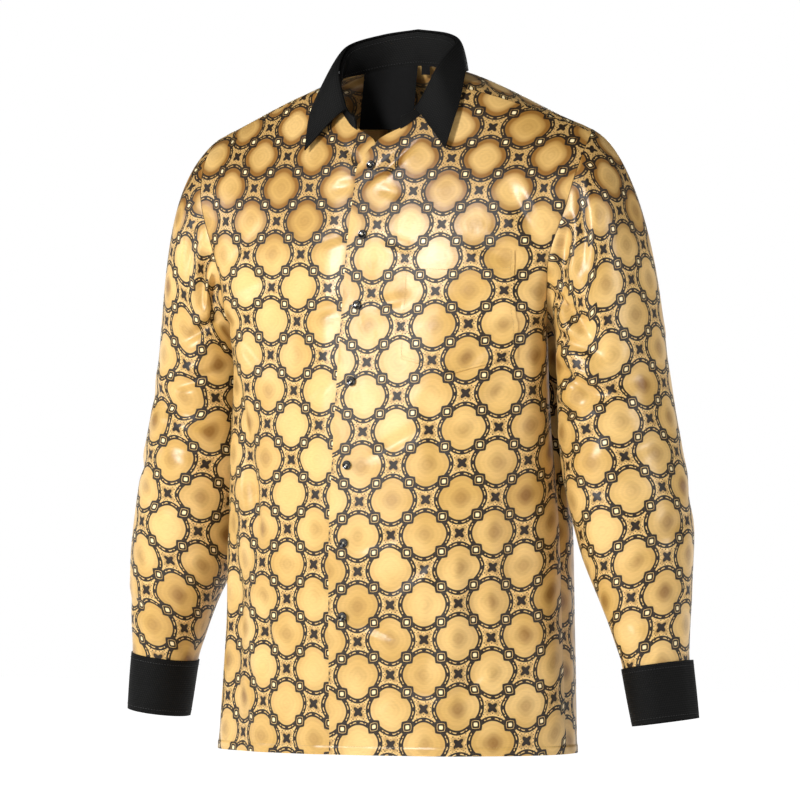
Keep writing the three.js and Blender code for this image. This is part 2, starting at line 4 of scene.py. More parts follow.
import bpy
import numpy as np
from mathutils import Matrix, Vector


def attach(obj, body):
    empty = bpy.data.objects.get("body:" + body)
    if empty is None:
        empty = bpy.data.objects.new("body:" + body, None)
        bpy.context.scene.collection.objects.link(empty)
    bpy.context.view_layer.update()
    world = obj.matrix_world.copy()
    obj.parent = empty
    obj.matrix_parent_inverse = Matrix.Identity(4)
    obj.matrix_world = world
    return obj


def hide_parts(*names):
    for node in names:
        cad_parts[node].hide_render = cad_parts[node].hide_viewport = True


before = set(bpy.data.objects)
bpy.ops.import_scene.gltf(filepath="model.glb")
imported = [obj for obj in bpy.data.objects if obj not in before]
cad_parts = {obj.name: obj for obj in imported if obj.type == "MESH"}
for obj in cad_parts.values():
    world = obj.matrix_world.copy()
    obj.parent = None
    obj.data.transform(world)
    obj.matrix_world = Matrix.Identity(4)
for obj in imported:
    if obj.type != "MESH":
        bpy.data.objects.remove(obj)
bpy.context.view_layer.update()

MM = 0.001
HANDS = (("left", 1), ("right", -1))

# Sizes shared with the solids, in millimetres
CLOTH = 1.2
STIFF_CLOTH = 1.8
SEAM_GAP = 0.3
BUTTON_STAND = 20
UNDERLAP_DEPTH = 2.4
CUFF_HEIGHT = 68
CUFF_LAP = 22
BUTTON_RADIUS = 5.6
BUTTON_THICKNESS = 2.8
SMALL_BUTTON_SCALE = 0.85
HEM_LEVEL = -804
HEM_TURN = 10

# Body rows run from at = 0 at the hem, by 1 at the armpit, to 2 on the shoulder ridge.
ARMPIT = 1
RIDGE = 2
NECK_PIT_ROW = 1.6
NECK_BACK_ROW = 1.8
FRONT_YOKE_ROW = 1.93
BACK_YOKE_ROW = 1.5
SIDE_TRIM = SEAM_GAP / 430
ROW_TRIM = SEAM_GAP / 500
FRONT_YOKE_TRIM = SEAM_GAP / 83

# at, point, front pull, back pull
SIDE = [
    (0, (226, 0, HEM_LEVEL), (0, -78, 0), (0, 78, 0)),
    (0.32, (217, 5, -640), (3, -78, 0), (2, 78, 0)),
    (0.49, (213, 8, -553), (12, -80, 0), (6, 76, 0)),
    (0.67, (204, 12, -461), (30, -78, 0), (14, 70, 0)),
    (0.863, (194, 14, -362), (54, -72, 0), (24, 62, 0)),
    (1, (191, 12, -292), (60, -70, 0), (28, 56, 0)),
]

# at, point, pull
FRONT_CENTRE = [
    (0, (0, -137, HEM_LEVEL), (135, 0, 0)),
    (0.32, (0, -139, -640), (130, 0, 0)),
    (0.49, (0, -138, -553), (128, 0, 0)),
    (0.67, (0, -130, -461), (128, 0, 0)),
    (0.863, (0, -118, -362), (130, 0, 0)),
    (1, (0, -108, -292), (132, 0, 0)),
    (1.15, (0, -102, -255), (120, 0, 0)),
    (1.3, (0, -95, -210), (100, 0, 0)),
    (1.45, (0, -77, -140), (85, 0, -2)),
    (1.6, (0, -60, -80), (75, 0, -6)),
    (1.72, (39, -44, -53), (60, 0, -8)),
    (1.84, (62, -28, -28), (55, 0, -6)),
    (1.93, (72, -12, -8), (55, 2, -6)),
    (2, (76, 4, 3), (50, 6, -13)),
]
BACK_CENTRE = [
    (0, (0, 142, HEM_LEVEL), (135, 0, 0)),
    (0.32, (0, 148, -640), (132, 0, 0)),
    (0.49, (0, 148, -553), (130, 0, 0)),
    (0.67, (0, 144, -461), (130, 0, 0)),
    (0.863, (0, 138, -362), (132, 0, 0)),
    (1, (0, 134, -292), (130, 0, 0)),
    (1.25, (0, 121, -190), (120, 0, 0)),
    (1.5, (0, 101, -95), (105, 0, 0)),
    (1.65, (0, 82, -35), (85, 0, 0)),
    (1.8, (0, 58, 20), (60, 0, 0)),
    (1.87, (36, 52, 17), (50, 3, -3)),
    (1.94, (62, 32, 10), (48, 5, -7)),
    (2, (76, 4, 3), (50, 6, -13)),
]
FRONT_ARMHOLE = [
    (1, (191, 12, -292), (60, -70, 0)),
    (1.07, (204, -9, -282), (40, -56, 0)),
    (1.15, (214, -30, -257), (12, -44, 0)),
    (1.3, (225, -45, -210), (-30, -32, 0)),
    (1.45, (247, -38, -142), (-58, -20, 6)),
    (1.6, (253, -16, -95), (-66, -10, 16)),
    (1.72, (253, -6, -84), (-66, -8, 20)),
    (1.84, (252, 6, -74), (-64, -5, 23)),
    (1.93, (250, 18, -66), (-62, -4, 25)),
    (2, (248, 30, -63), (-58, -4, 25)),
]
BACK_ARMHOLE = [
    (1, (191, 12, -292), (28, 56, 0)),
    (1.1, (205, 44, -265), (12, 46, 0)),
    (1.2, (218, 69, -222), (-16, 38, 0)),
    (1.35, (234, 83, -165), (-48, 24, 2)),
    (1.5, (246, 78, -125), (-58, 16, 8)),
    (1.65, (249, 66, -100), (-60, 14, 14)),
    (1.8, (250, 53, -80), (-62, 8, 20)),
    (1.9, (250, 42, -69), (-60, 3, 24)),
    (2, (248, 30, -63), (-58, -4, 25)),
]

# down, x, y, half size towards the body, half size away from it, half depth
ARM = [
    (350, 266, 36, 58, 66, 84),
    (400, 272, 36, 62, 68, 86),
    (450, 279, 36, 67, 71, 85),
    (534, 298, 36, 66, 67, 80),
    (612, 317, 27, 54, 54, 60),
    (660, 325, 26, 44, 44, 53),
    (697, 331, 26, 38, 38, 47),
    (765, 341, 28, 35, 35, 44),
]
SLEEVE_TOP_DOWN = 350
CUFF_TOP_DOWN = 697
CUFF_MIDDLE_DOWN = 730

# turn, roll, edge
COLLAR = [
    (0, (0, 54, 60), (0, 82, 14)),
    (0.3, (42, 46, 54), (50, 72, 11)),
    (0.58, (70, 10, 38), (86, 12, 12)),
    (0.76, (64, -24, 9), (98, -34, -38)),
    (0.9, (44, -41, -38), (94, -58, -85)),
]
LEAF_END = 0.9
STAND_END = (1, (31, -50, -45))
STAND_RISE = 1.2
STAND_TUCK = 2.2

# Folds: two ends, width and depth. On the body the ends are x and z, on a sleeve degrees round
# (0 towards the body, 90 in front) and millimetres down. All are pressed in DEEPER times the depth.
DEEPER = 1.6
FRONT_FOLDS = [
    ((-196, -330), (-176, -470), 16, 5),
    ((196, -450), (188, -700), 15, 5),
    ((160, -520), (150, -770), 14, 3.5),
    ((-150, -380), (-140, -560), 11, 2.2),
    ((-120, -600), (-112, -790), 12, 2.0),
    ((-168, -560), (-178, -780), 13, 2.6),
    ((120, -560), (104, -700), 10, 1.6),
    ((178, -300), (128, -352), 9, 2.4),
    ((186, -350), (150, -420), 9, 2.2),
    ((-190, -296), (-132, -344), 9, 2.2),
    ((-196, -262), (-120, -232), 12, 1.8),
    ((-206, -228), (-150, -170), 12, 1.6),
    ((-176, -372), (-150, -500), 11, 4.4),
    ((-150, -470), (-128, -560), 10, 2.6),
    ((-190, -520), (-176, -640), 11, 3.6),
    ((212, -190), (176, -130), 9, 2.4),
    ((96, -392), (118, -470), 10, 1.8),
    ((150, -590), (168, -690), 9, 3.0),
    ((-96, -690), (-130, -640), 9, 2.2),
    ((-150, -700), (-120, -760), 9, 2.4),
    ((-60, -380), (-30, -352), 7, 1.6),
    ((-64, -282), (-28, -270), 7, 1.4),
    ((-58, -196), (-26, -186), 7, 1.6),
    ((24, -188), (70, -206), 7, 1.4),
    ((20, -272), (66, -262), 7, 1.2),
    ((22, -560), (66, -544), 6, 2.0),
    ((22, -646), (64, -664), 6, 2.0),
    ((198, -226), (140, -196), 10, 1.8),
    ((60, -610), (110, -570), 7, 2.2),
    ((-34, -668), (-62, -640), 6, 1.6),
    ((-26, -684), (-70, -690), 6, 1.3),
    ((70, -716), (118, -736), 7, 2.2),
    ((24, -760), (60, -730), 6, 2.0),
    ((130, -736), (166, -700), 7, 2.4),
    ((34, -450), (84, -420), 7, 1.8),
    ((-40, -480), (-90, -450), 8, 1.8),
    ((12, -112), (52, -78), 5, 2.6),
    ((-4, -122), (34, -100), 6, 1.8),
    ((-10, -110), (-40, -80), 5, 2.2),
    ((-22, -126), (-48, -132), 5, 1.6),
    ((16, -132), (44, -140), 5, 1.5),
]
BACK_FOLDS = [
    ((90, -330), (70, -760), 26, 7),
    ((-80, -300), (-95, -740), 26, 7),
    ((170, -420), (160, -720), 18, 5),
    ((-168, -400), (-172, -700), 18, 5),
    ((150, -200), (120, -330), 14, 3),
    ((-150, -200), (-118, -330), 14, 3),
    ((20, -420), (8, -780), 16, 2.6),
    ((130, -480), (124, -790), 12, 2.4),
    ((-36, -520), (-44, -790), 12, 2.2),
    ((-130, -460), (-136, -780), 12, 2.4),
    ((186, -300), (130, -372), 10, 2.6),
    ((-186, -300), (-130, -380), 10, 2.6),
]
SLEEVE_FOLDS = [
    ((70, 250), (112, 330), 13, 6),
    ((60, 400), (150, 352), 14, 6),
    ((40, 452), (110, 420), 14, 5),
    ((230, 330), (300, 420), 18, 6),
    ((215, 500), (300, 540), 18, 6),
    ((60, 640), (150, 655), 12, 3.5),
    ((104, 126), (60, 262), 8, 6.5),
    ((122, 116), (98, 224), 7, 3.4),
    ((40, 256), (96, 296), 7, 5.8),
    ((50, 304), (108, 328), 7, 4.4),
    ((56, 346), (112, 380), 8, 5.0),
    ((44, 392), (90, 404), 7, 3.0),
    ((120, 452), (170, 420), 9, 2.0),
    ((66, 480), (128, 500), 9, 2.0),
    ((130, 560), (180, 520), 10, 1.8),
    ((60, 590), (100, 560), 9, 1.6),
    ((140, 600), (196, 640), 9, 1.6),
    ((250, 440), (320, 470), 10, 3.0),
    ((280, 250), (312, 330), 9, 3.0),
    ((230, 600), (290, 640), 10, 2.4),
]
RIGHT_SLEEVE_FOLDS = [
    ((76, 146), (66, 266), 7, 6.4),
    ((54, 176), (48, 286), 6, 5.4),
    ((94, 150), (86, 236), 7, 3.0),
    ((36, 282), (92, 312), 7, 4.8),
    ((46, 350), (108, 372), 8, 4.2),
    ((60, 408), (140, 378), 13, 5.0),
    ((40, 460), (110, 430), 12, 4.2),
    ((70, 520), (126, 496), 9, 2.4),
    ((130, 452), (168, 480), 9, 2.0),
    ((50, 570), (98, 600), 9, 2.2),
    ((90, 640), (150, 628), 10, 2.8),
    ((230, 340), (300, 424), 18, 6),
    ((215, 500), (300, 540), 18, 6),
    ((250, 446), (318, 480), 10, 3.0),
    ((280, 250), (312, 330), 9, 3.0),
    ((230, 600), (290, 640), 10, 2.4),
]
# Small gathers where the sleeve goes into the cuff: degrees round and depth
CUFF_GATHERS = [(28, 1.6), (74, 1.1), (112, 1.8), (158, 1.2), (206, 1.9), (282, 2.0), (322, 1.4)]

BUTTON_LEVELS = [-104, -187, -271, -362, -461, -553, -640]
POCKET = {"left": 58, "right": 190, "top": -207, "bottom": -352, "point": 18}
LABEL = {"left": -62, "right": 0, "bottom": -58, "lean": 0.2, "inset": 2.3}
TAB = {"left": 5, "right": 17, "bottom": 8, "lean": 0.1, "inset": 0.4}
LABEL_DROP = 0.8


# Curves and surfaces

def unit(vectors):
    return vectors / np.linalg.norm(vectors, axis=-1, keepdims=True)


def smooth(x):
    t = np.clip(x, 0, 1)
    return t * t * (3 - 2 * t)


def mirror(points):
    return points * np.array([-1.0, 1.0, 1.0])


def together(*values):
    """The values as float arrays of one common shape."""
    return np.broadcast_arrays(*[np.asarray(value, float) for value in values])


class Column:
    """A column of a table as a curve that never swings past its own rows."""

    def __init__(self, keys, rows):
        self.x = np.array(keys, float)
        self.y = np.array(rows, float)
        if self.y.ndim == 1:
            self.y = self.y[:, None]
        slopes = np.diff(self.y, axis=0) / np.diff(self.x)[:, None]
        self.tangents = np.zeros_like(self.y)
        self.tangents[0] = slopes[0]
        self.tangents[-1] = slopes[-1]
        before, after = slopes[:-1], slopes[1:]
        same = before * after > 0
        total = np.where(same, before + after, 1)
        self.tangents[1:-1] = np.where(same, 2 * before * after / total, 0)

    def __call__(self, x):
        x = np.asarray(x, float)
        i = np.clip(np.searchsorted(self.x, x, side="left") - 1, 0, len(self.x) - 2)
        step = (self.x[i + 1] - self.x[i])[..., None]
        t = (x - self.x[i])[..., None] / step
        t2, t3 = t * t, t * t * t
        return (
            self.y[i] * (2 * t3 - 3 * t2 + 1)
            + self.tangents[i] * step * (t3 - 2 * t2 + t)
            + self.y[i + 1] * (3 * t2 - 2 * t3)
            + self.tangents[i + 1] * step * (t3 - t2)
        )


def column(rows, field):
    return Column([row[0] for row in rows], [row[field] for row in rows])


def bezier(a, b, c, d, t):
    t = np.asarray(t, float)[..., None]
    s = 1 - t
    return a * s**3 + 3 * b * s**2 * t + 3 * c * s * t**2 + d * t**3


def pressed(folds, u, v):
    """Depth of the folds at (u, v): a soft trough each, with a low ridge along one flank."""
    depth = np.zeros(np.broadcast(u, v).shape)
    for start, end, width, deep in folds:
        deep = deep * DEEPER
        ax, ay = end[0] - start[0], end[1] - start[1]
        ox, oy = u - start[0], v - start[1]
        length = math.hypot(ax, ay)
        t = np.clip((ox * ax + oy * ay) / length**2, 0, 1)
        gap = np.hypot(ox - ax * t, oy - ay * t)
        flank = (ox * ay - oy * ax) / length
        taper = np.sin(np.pi * (0.1 + 0.8 * t))
        depth += deep * taper * np.exp(-((gap / width) ** 2))
        beside = gap - 1.7 * width
        ridge = np.exp(-((beside / (0.8 * width)) ** 2)) * (flank > 0)
        depth -= 0.28 * deep * taper * ridge
    return depth


def ripple(u, v, size, depth, seed):
    """Slow unevenness of cloth that hangs free, always the same for a seed."""
    chance = np.random.default_rng(seed)
    total = np.zeros(np.broadcast(u, v).shape)
    for _ in range(6):
        angle = chance.uniform(-0.5, 0.5)
        wave = size * chance.uniform(0.7, 1.6)
        along = u * math.cos(angle) + v * math.sin(angle) * 0.35
        total += np.sin(2 * np.pi * along / wave + chance.uniform(0, 6.28))
    return depth * total / 3


class HalfBody:
    """The wearer's left half of the front or back, for s across and at up."""

    def __init__(self, centre_rows, armhole_rows, pull_field, part):
        self.centre = column(centre_rows, 1)
        self.centre_pull = column(centre_rows, 2)
        self.side = column(SIDE, 1)
        self.side_pull = column(SIDE, pull_field)
        self.armhole = column(armhole_rows, 1)
        self.armhole_pull = column(armhole_rows, 2)
        self.part = part

    def __call__(self, s, at):
        at = np.asarray(at, float)
        below = (at <= ARMPIT)[..., None]
        outer = np.where(below, self.side(np.minimum(at, ARMPIT)), self.armhole(np.maximum(at, ARMPIT)))
        low = self.side_pull(np.minimum(at, ARMPIT))
        high = self.armhole_pull(np.maximum(at, ARMPIT))
        inner = self.centre(at)
        return bezier(inner, inner + self.centre_pull(at), outer + np.where(below, low, high), outer, s)

    def normal(self, s, at, step=0.004):
        across = self(np.minimum(1, s + step), at) - self(np.maximum(0, s - step), at)
        up = self(s, np.minimum(RIDGE, at + step)) - self(s, np.maximum(0, at - step))
        return unit(np.cross(across, up) if self.part == "front" else np.cross(up, across))


front_half = HalfBody(FRONT_CENTRE, FRONT_ARMHOLE, 2, "front")
back_half = HalfBody(BACK_CENTRE, BACK_ARMHOLE, 3, "back")


def body_depth(part, hand, x, z, s):
    folds = FRONT_FOLDS if part == "front" else BACK_FOLDS
    seed = 5 if part == "front" else 9
    free = smooth((-150 - z) / 160)
    depth = pressed(folds, x * hand, z) + free * ripple(x * hand, z, 110, 2.7, seed)
    depth = depth + puckers(x * hand, z, s, seed)
    turned = smooth((HEM_LEVEL + HEM_TURN - z) / 1.5)
    return depth * smooth((1 - s) / 0.1) - 1.0 * turned


def puckers(x, z, s, seed):
    """Small unevenness of satin beside the hem and the armhole seam."""
    hem = np.exp(-(((z - HEM_LEVEL - HEM_TURN - 3) / 6) ** 2))
    hem_wave = np.sin(x / 2.6 + 1.3 * np.sin(x / 11 + seed)) * 0.32
    armhole = smooth((s - 0.86) / 0.07) * smooth((z + 300) / 30)
    seam_wave = np.sin(z / 2.9 + 1.5 * np.sin(z / 13 + seed)) * 0.45
    return hem * hem_wave + armhole * seam_wave


def body_point(part, hand, s, at):
    """A point of the body with its folds. hand is 1 for the wearer's left and -1 for the right."""
    half = front_half if part == "front" else back_half
    s, at = together(s, at)
    plain = half(s, at)
    depth = body_depth(part, hand, plain[..., 0], plain[..., 2], s)
    placed = plain - half.normal(s, at) * depth[..., None]
    return placed if hand > 0 else mirror(placed)


def stand_point(hand, width, at):
    """The button stand continues a front past the centre line."""
    width, at = together(width, at)
    top = NECK_PIT_ROW - 0.06 * smooth(width / BUTTON_STAND)
    row = at * top / NECK_PIT_ROW
    pull = front_half.centre_pull(row)[..., 0]
    s = width / (3 * pull)
    plain = front_half(s, row)
    depth = body_depth("front", hand, -width, plain[..., 2], s)
    placed = plain - front_half.normal(s, row) * depth[..., None]
    return np.stack([-hand * width, placed[..., 1], placed[..., 2]], -1)


def sunk(points, hand):
    """The under front lies behind the lapping front near the centre."""
    reach = 1 - smooth((points[..., 0] * hand - BUTTON_STAND - 2) / 26)
    return points + np.stack([0 * reach, UNDERLAP_DEPTH * reach, 0 * reach], -1)


# Charts: where each point lies on the flat cut, in millimetres, for the print and weave

def along(points, axis):
    steps = np.linalg.norm(np.diff(points, axis=axis), axis=-1)
    pad = [(1, 0), (0, 0)] if axis == 0 else [(0, 0), (1, 0)]
    return np.pad(np.cumsum(steps, axis=axis), pad)


def body_chart(points, level_row):
    """Round the body and up it, squared off above the row level_row."""
    flat = points * np.array([np.sign(points[level_row, -1, 0]), 1, 1])
    round_body = along(flat, 1) + flat[:, :1, 0]
    up = along(flat, 0)
    up = up - up[level_row][None]
    base = flat[level_row]
    over = flat[level_row + 1:]
    x = over[..., 0]
    past = np.maximum(0, x - base[-1, 0])
    round_body[level_row + 1:] = np.interp(x, base[:, 0], round_body[level_row]) + past
    y0 = np.interp(x, base[:, 0], base[:, 1])
    z0 = np.interp(x, base[:, 0], base[:, 2])
    up[level_row + 1:] = np.hypot(over[..., 1] - y0, over[..., 2] - z0)
    return np.stack([round_body, up], -1)


def grid_chart(points):
    across = along(points, 1)
    middle = across[:, across.shape[1] // 2][:, None]
    return np.stack([across - middle, along(points, 0)], -1)


# Mesh building

class Patch:
    """A grid of points with its place on the flat cut."""

    def __init__(self, points, chart, flip=False):
        self.points = points
        self.chart = chart
        self.flip = flip

    def arrays(self):
        rows, columns = self.points.shape[:2]
        index = np.arange(rows * columns).reshape(rows, columns)
        a, b = index[:-1, :-1].ravel(), index[:-1, 1:].ravel()
        c, d = index[1:, 1:].ravel(), index[1:, :-1].ravel()
        faces = np.stack([a, b, c, d] if not self.flip else [a, d, c, b], 1)
        return self.points.reshape(-1, 3), self.chart.reshape(-1, 2)[faces], faces


def welded(patches):
    points, charts, faces = [], [], []
    count = 0
    for patch in patches:
        p, chart, face = patch.arrays()
        points.append(p)
        charts.append(chart)
        faces.append(face + count)
        count += len(p)
    points = np.concatenate(points)
    keys = np.round(points * 50).astype(np.int64)
    _, first, back = np.unique(keys, axis=0, return_index=True, return_inverse=True)
    return points[first], np.concatenate(charts), back.reshape(-1)[np.concatenate(faces)]


def vertex_normals(points, faces):
    a, b, c, d = (points[faces[:, corner]] for corner in range(4))
    normal = np.cross(c - a, d - b)
    total = np.zeros_like(points)
    for corner in range(4):
        np.add.at(total, faces[:, corner], normal)
    return unit(total)


def thickened(points, charts, faces, thickness):
    """Adds the inner face and the rims. Returns points, charts, faces and the face kinds."""
    inner = points - vertex_normals(points, faces) * thickness
    count = len(points)
    starts = faces.ravel()
    ends = np.roll(faces, -1, axis=1).ravel()
    start_charts = charts.reshape(-1, 2)
    end_charts = np.roll(charts, -1, axis=1).reshape(-1, 2)
    alone = ~np.isin(starts * count + ends, ends * count + starts)
    a, b = starts[alone], ends[alone]
    rims = np.stack([b, a, a + count, b + count], 1)
    starting, ending = start_charts[alone], end_charts[alone]
    rim_charts = np.stack([ending, starting, starting, ending], 1)
    all_faces = np.concatenate([faces, faces[:, ::-1] + count, rims])
    all_charts = np.concatenate([charts, charts[:, ::-1], rim_charts])
    kinds = np.concatenate([np.zeros(len(faces)), np.ones(len(faces)), np.zeros(len(rims))]).astype(int)
    return np.concatenate([points, inner]), all_charts, all_faces, kinds


def make_object(name, points, faces, materials, sharp, charts=None, kinds=None):
    """A smooth mesh with its UVs. Without a chart, the UVs are x and z."""
    mesh = bpy.data.meshes.new(name)
    mesh.from_pydata((points * MM).tolist(), [], [tuple(int(i) for i in face) for face in faces])
    if charts is None:
        corner = np.empty(len(mesh.loops), int)
        mesh.loops.foreach_get("vertex_index", corner)
        charts = points[corner][:, [0, 2]]
    mesh.uv_layers.new(name="cut").data.foreach_set("uv", (charts * MM).reshape(-1))
    for material in materials:
        mesh.materials.append(material)
    if kinds is not None:
        mesh.polygons.foreach_set("material_index", np.minimum(kinds, len(materials) - 1))
    mesh.polygons.foreach_set("use_smooth", np.ones(len(faces), bool))
    mesh.set_sharp_from_angle(angle=sharp)
    mesh.update()
    piece = bpy.data.objects.new(name, mesh)
    bpy.context.collection.objects.link(piece)
    return piece


CLOTH_SHARP = math.radians(48)
HARD_SHARP = math.radians(40)


def wear(piece, node=None):
    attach(piece, "root")
    if node:
        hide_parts(node)


def cloth(name, patches, materials, thickness=CLOTH, node=None):
    points, charts, faces, kinds = thickened(*welded(patches), thickness)
    piece = make_object(name, points, faces, materials, CLOTH_SHARP, charts, kinds)
    wear(piece, node)


# Shader arithmetic

class Term:
    """A number inside a shader, joined to others with plain arithmetic."""

    def __init__(self, tree, socket):
        self.tree = tree
        self.socket = socket

    def math(self, operation, *others):
        node = self.tree.nodes.new("ShaderNodeMath")
        node.operation = operation
        for place, term in enumerate((self,) + others):
            if isinstance(term, Term):
                self.tree.links.new(term.socket, node.inputs[place])
            else:
                node.inputs[place].default_value = term
        return Term(self.tree, node.outputs[0])

    def __add__(self, other):
        return self.math("ADD", other)

    def __sub__(self, other):
        return self.math("SUBTRACT", other)

    def __mul__(self, other):
        return self.math("MULTIPLY", other)

    def __truediv__(self, other):
        return self.math("DIVIDE", other)

    def __pow__(self, other):
        return self.math("POWER", other)

    def wrap(self):
        """Distance from the middle of the unit cell that the number falls in."""
        return self.math("FRACT") - 0.5

    def size(self):
        return self.math("ABSOLUTE")

    def root(self):
        return self.math("SQRT")

    def cosine(self):
        return self.math("COSINE")

    def least(self, other):
        return self.math("MINIMUM", other)

    def most(self, other):
        return self.math("MAXIMUM", other)

    def flip(self):
        return self.math("MULTIPLY_ADD", -1.0, 1.0)

    def ramp(self, low, high):
        """Smooth step from 0 at low to 1 at high, or the other way round."""
        node = self.tree.nodes.new("ShaderNodeMapRange")
        node.interpolation_type = "SMOOTHSTEP"
        self.tree.links.new(self.socket, node.inputs["Value"])
        node.inputs["From Min"].default_value = min(low, high)
        node.inputs["From Max"].default_value = max(low, high)
        result = Term(self.tree, node.outputs["Result"])
        return result if high > low else result.flip()

    def line(self, centre, half, soft):
        """1 within half of centre, fading over soft."""
        return (self - centre).size().ramp(half + soft, half)


def hypotenuse(a, b):
    return (a * a + b * b).root()


def parts(tree, vector):
    """The x, y and z of a vector."""
    split = tree.nodes.new("ShaderNodeSeparateXYZ")
    tree.links.new(vector, split.inputs[0])
    return [Term(tree, output) for output in split.outputs]


def mixed(tree, factor, first, second):
    node = tree.nodes.new("ShaderNodeMix")
    node.data_type = "RGBA"
    tree.links.new(factor.socket, node.inputs[0])
    for place, colour in ((6, first), (7, second)):
        if isinstance(colour, tuple):
            node.inputs[place].default_value = (*colour, 1)
        else:
            tree.links.new(colour, node.inputs[place])
    return node.outputs[2]


def noise(tree, vector, scale, detail=2.0, stretch=(1, 1, 1)):
    mapping = tree.nodes.new("ShaderNodeMapping")
    mapping.inputs["Scale"].default_value = stretch
    tree.links.new(vector, mapping.inputs["Vector"])
    node = tree.nodes.new("ShaderNodeTexNoise")
    node.inputs["Scale"].default_value = scale
    node.inputs["Detail"].default_value = detail
    tree.links.new(mapping.outputs[0], node.inputs["Vector"])
    return Term(tree, node.outputs["Fac"])


def new_material(name):
    material = bpy.data.materials.new(name)
    material.use_nodes = True
    tree = material.node_tree
    shader = tree.nodes["Principled BSDF"]
    where = tree.nodes.new("ShaderNodeUVMap")
    where.uv_map = "cut"
    u, v, _ = parts(tree, where.outputs[0])
    return material, tree, shader, where.outputs[0], u, v


def set_sockets(shader, **values):
    """Sets the shader's own sockets, named with underscores for spaces."""
    for name, value in values.items():
        shader.inputs[name.replace("_", " ")].default_value = value


def wire(tree, shader, **values):
    """Links colours and numbers into the shader's own sockets."""
    for name, value in values.items():
        socket = value.socket if isinstance(value, Term) else value
        tree.links.new(socket, shader.inputs[name.replace("_", " ")])


def bump(tree, shader, height, strength, reach):
    node = tree.nodes.new("ShaderNodeBump")
    node.inputs["Strength"].default_value = strength
    node.inputs["Distance"].default_value = reach
    tree.links.new(height.socket, node.inputs["Height"])
    tree.links.new(node.outputs[0], shader.inputs["Normal"])


# Gold jacquard satin: shaded cushions in a slanting trellis of beaded lines, with squared links,
# four-petalled flowers and scattered dots, with painted shade on the shoulders and on sideways-facing
# cloth

TRELLIS = 0.083
GOLD_LIGHT = (0.88, 0.585, 0.220)
GOLD_MIDDLE = (0.67, 0.405, 0.110)
GOLD_DEEP = (0.22, 0.088, 0.012)
LINE_DARK = (0.008, 0.006, 0.004)
LINK_PALE = (0.95, 0.80, 0.46)
INSIDE_PALE = (0.42, 0.30, 0.14)
# Distances from a cell's middle, or from a link's middle, in cells: centre, half width, soft edge
INNER_LINE = (0.422, 0.016, 0.006)
BEAD_LINE = (0.449, 0.018, 0.006)
OUTER_LINE = (0.477, 0.014, 0.006)
LINK_RING = (0.134, 0.026, 0.006)
LINK_EYE = (0.072, 0.019, 0.006)
CORNER_ROUNDING = 2.7
BEADS_A_CELL = 10.0
DOTS_A_CELL = 19.0
# Heights between which the cells turn from light rims to brown ones: painted shade, darker up on the
# shoulders
PAINTED_SHADE_FROM, PAINTED_SHADE_TO = -0.20, -0.05


def flower(side_a, side_b):
    """Four petals round a corner: the distance from it, shorter along the petals."""
    square_a, square_b = side_a * side_a, side_b * side_b
    reach = square_a + square_b
    turn = (square_a * square_b) / (reach * reach + 0.000001)
    return reach.root() / ((turn * -8.0 + 1.0) * 0.34 + 1.0)


def painted_shade_by_place(tree, patchy):
    """Painted shade: how far a point lies up on the shoulders, where the cells are painted darker, and
    how far it faces sideways, where the cell hearts are painted darker.
    """
    height = parts(tree, tree.nodes.new("ShaderNodeTexCoord").outputs["Object"])[2]
    across = parts(tree, tree.nodes.new("ShaderNodeNewGeometry").outputs["Normal"])[0]
    return (height + patchy * 0.10).ramp(PAINTED_SHADE_FROM, PAINTED_SHADE_TO), across.size().ramp(0.30, 0.75)


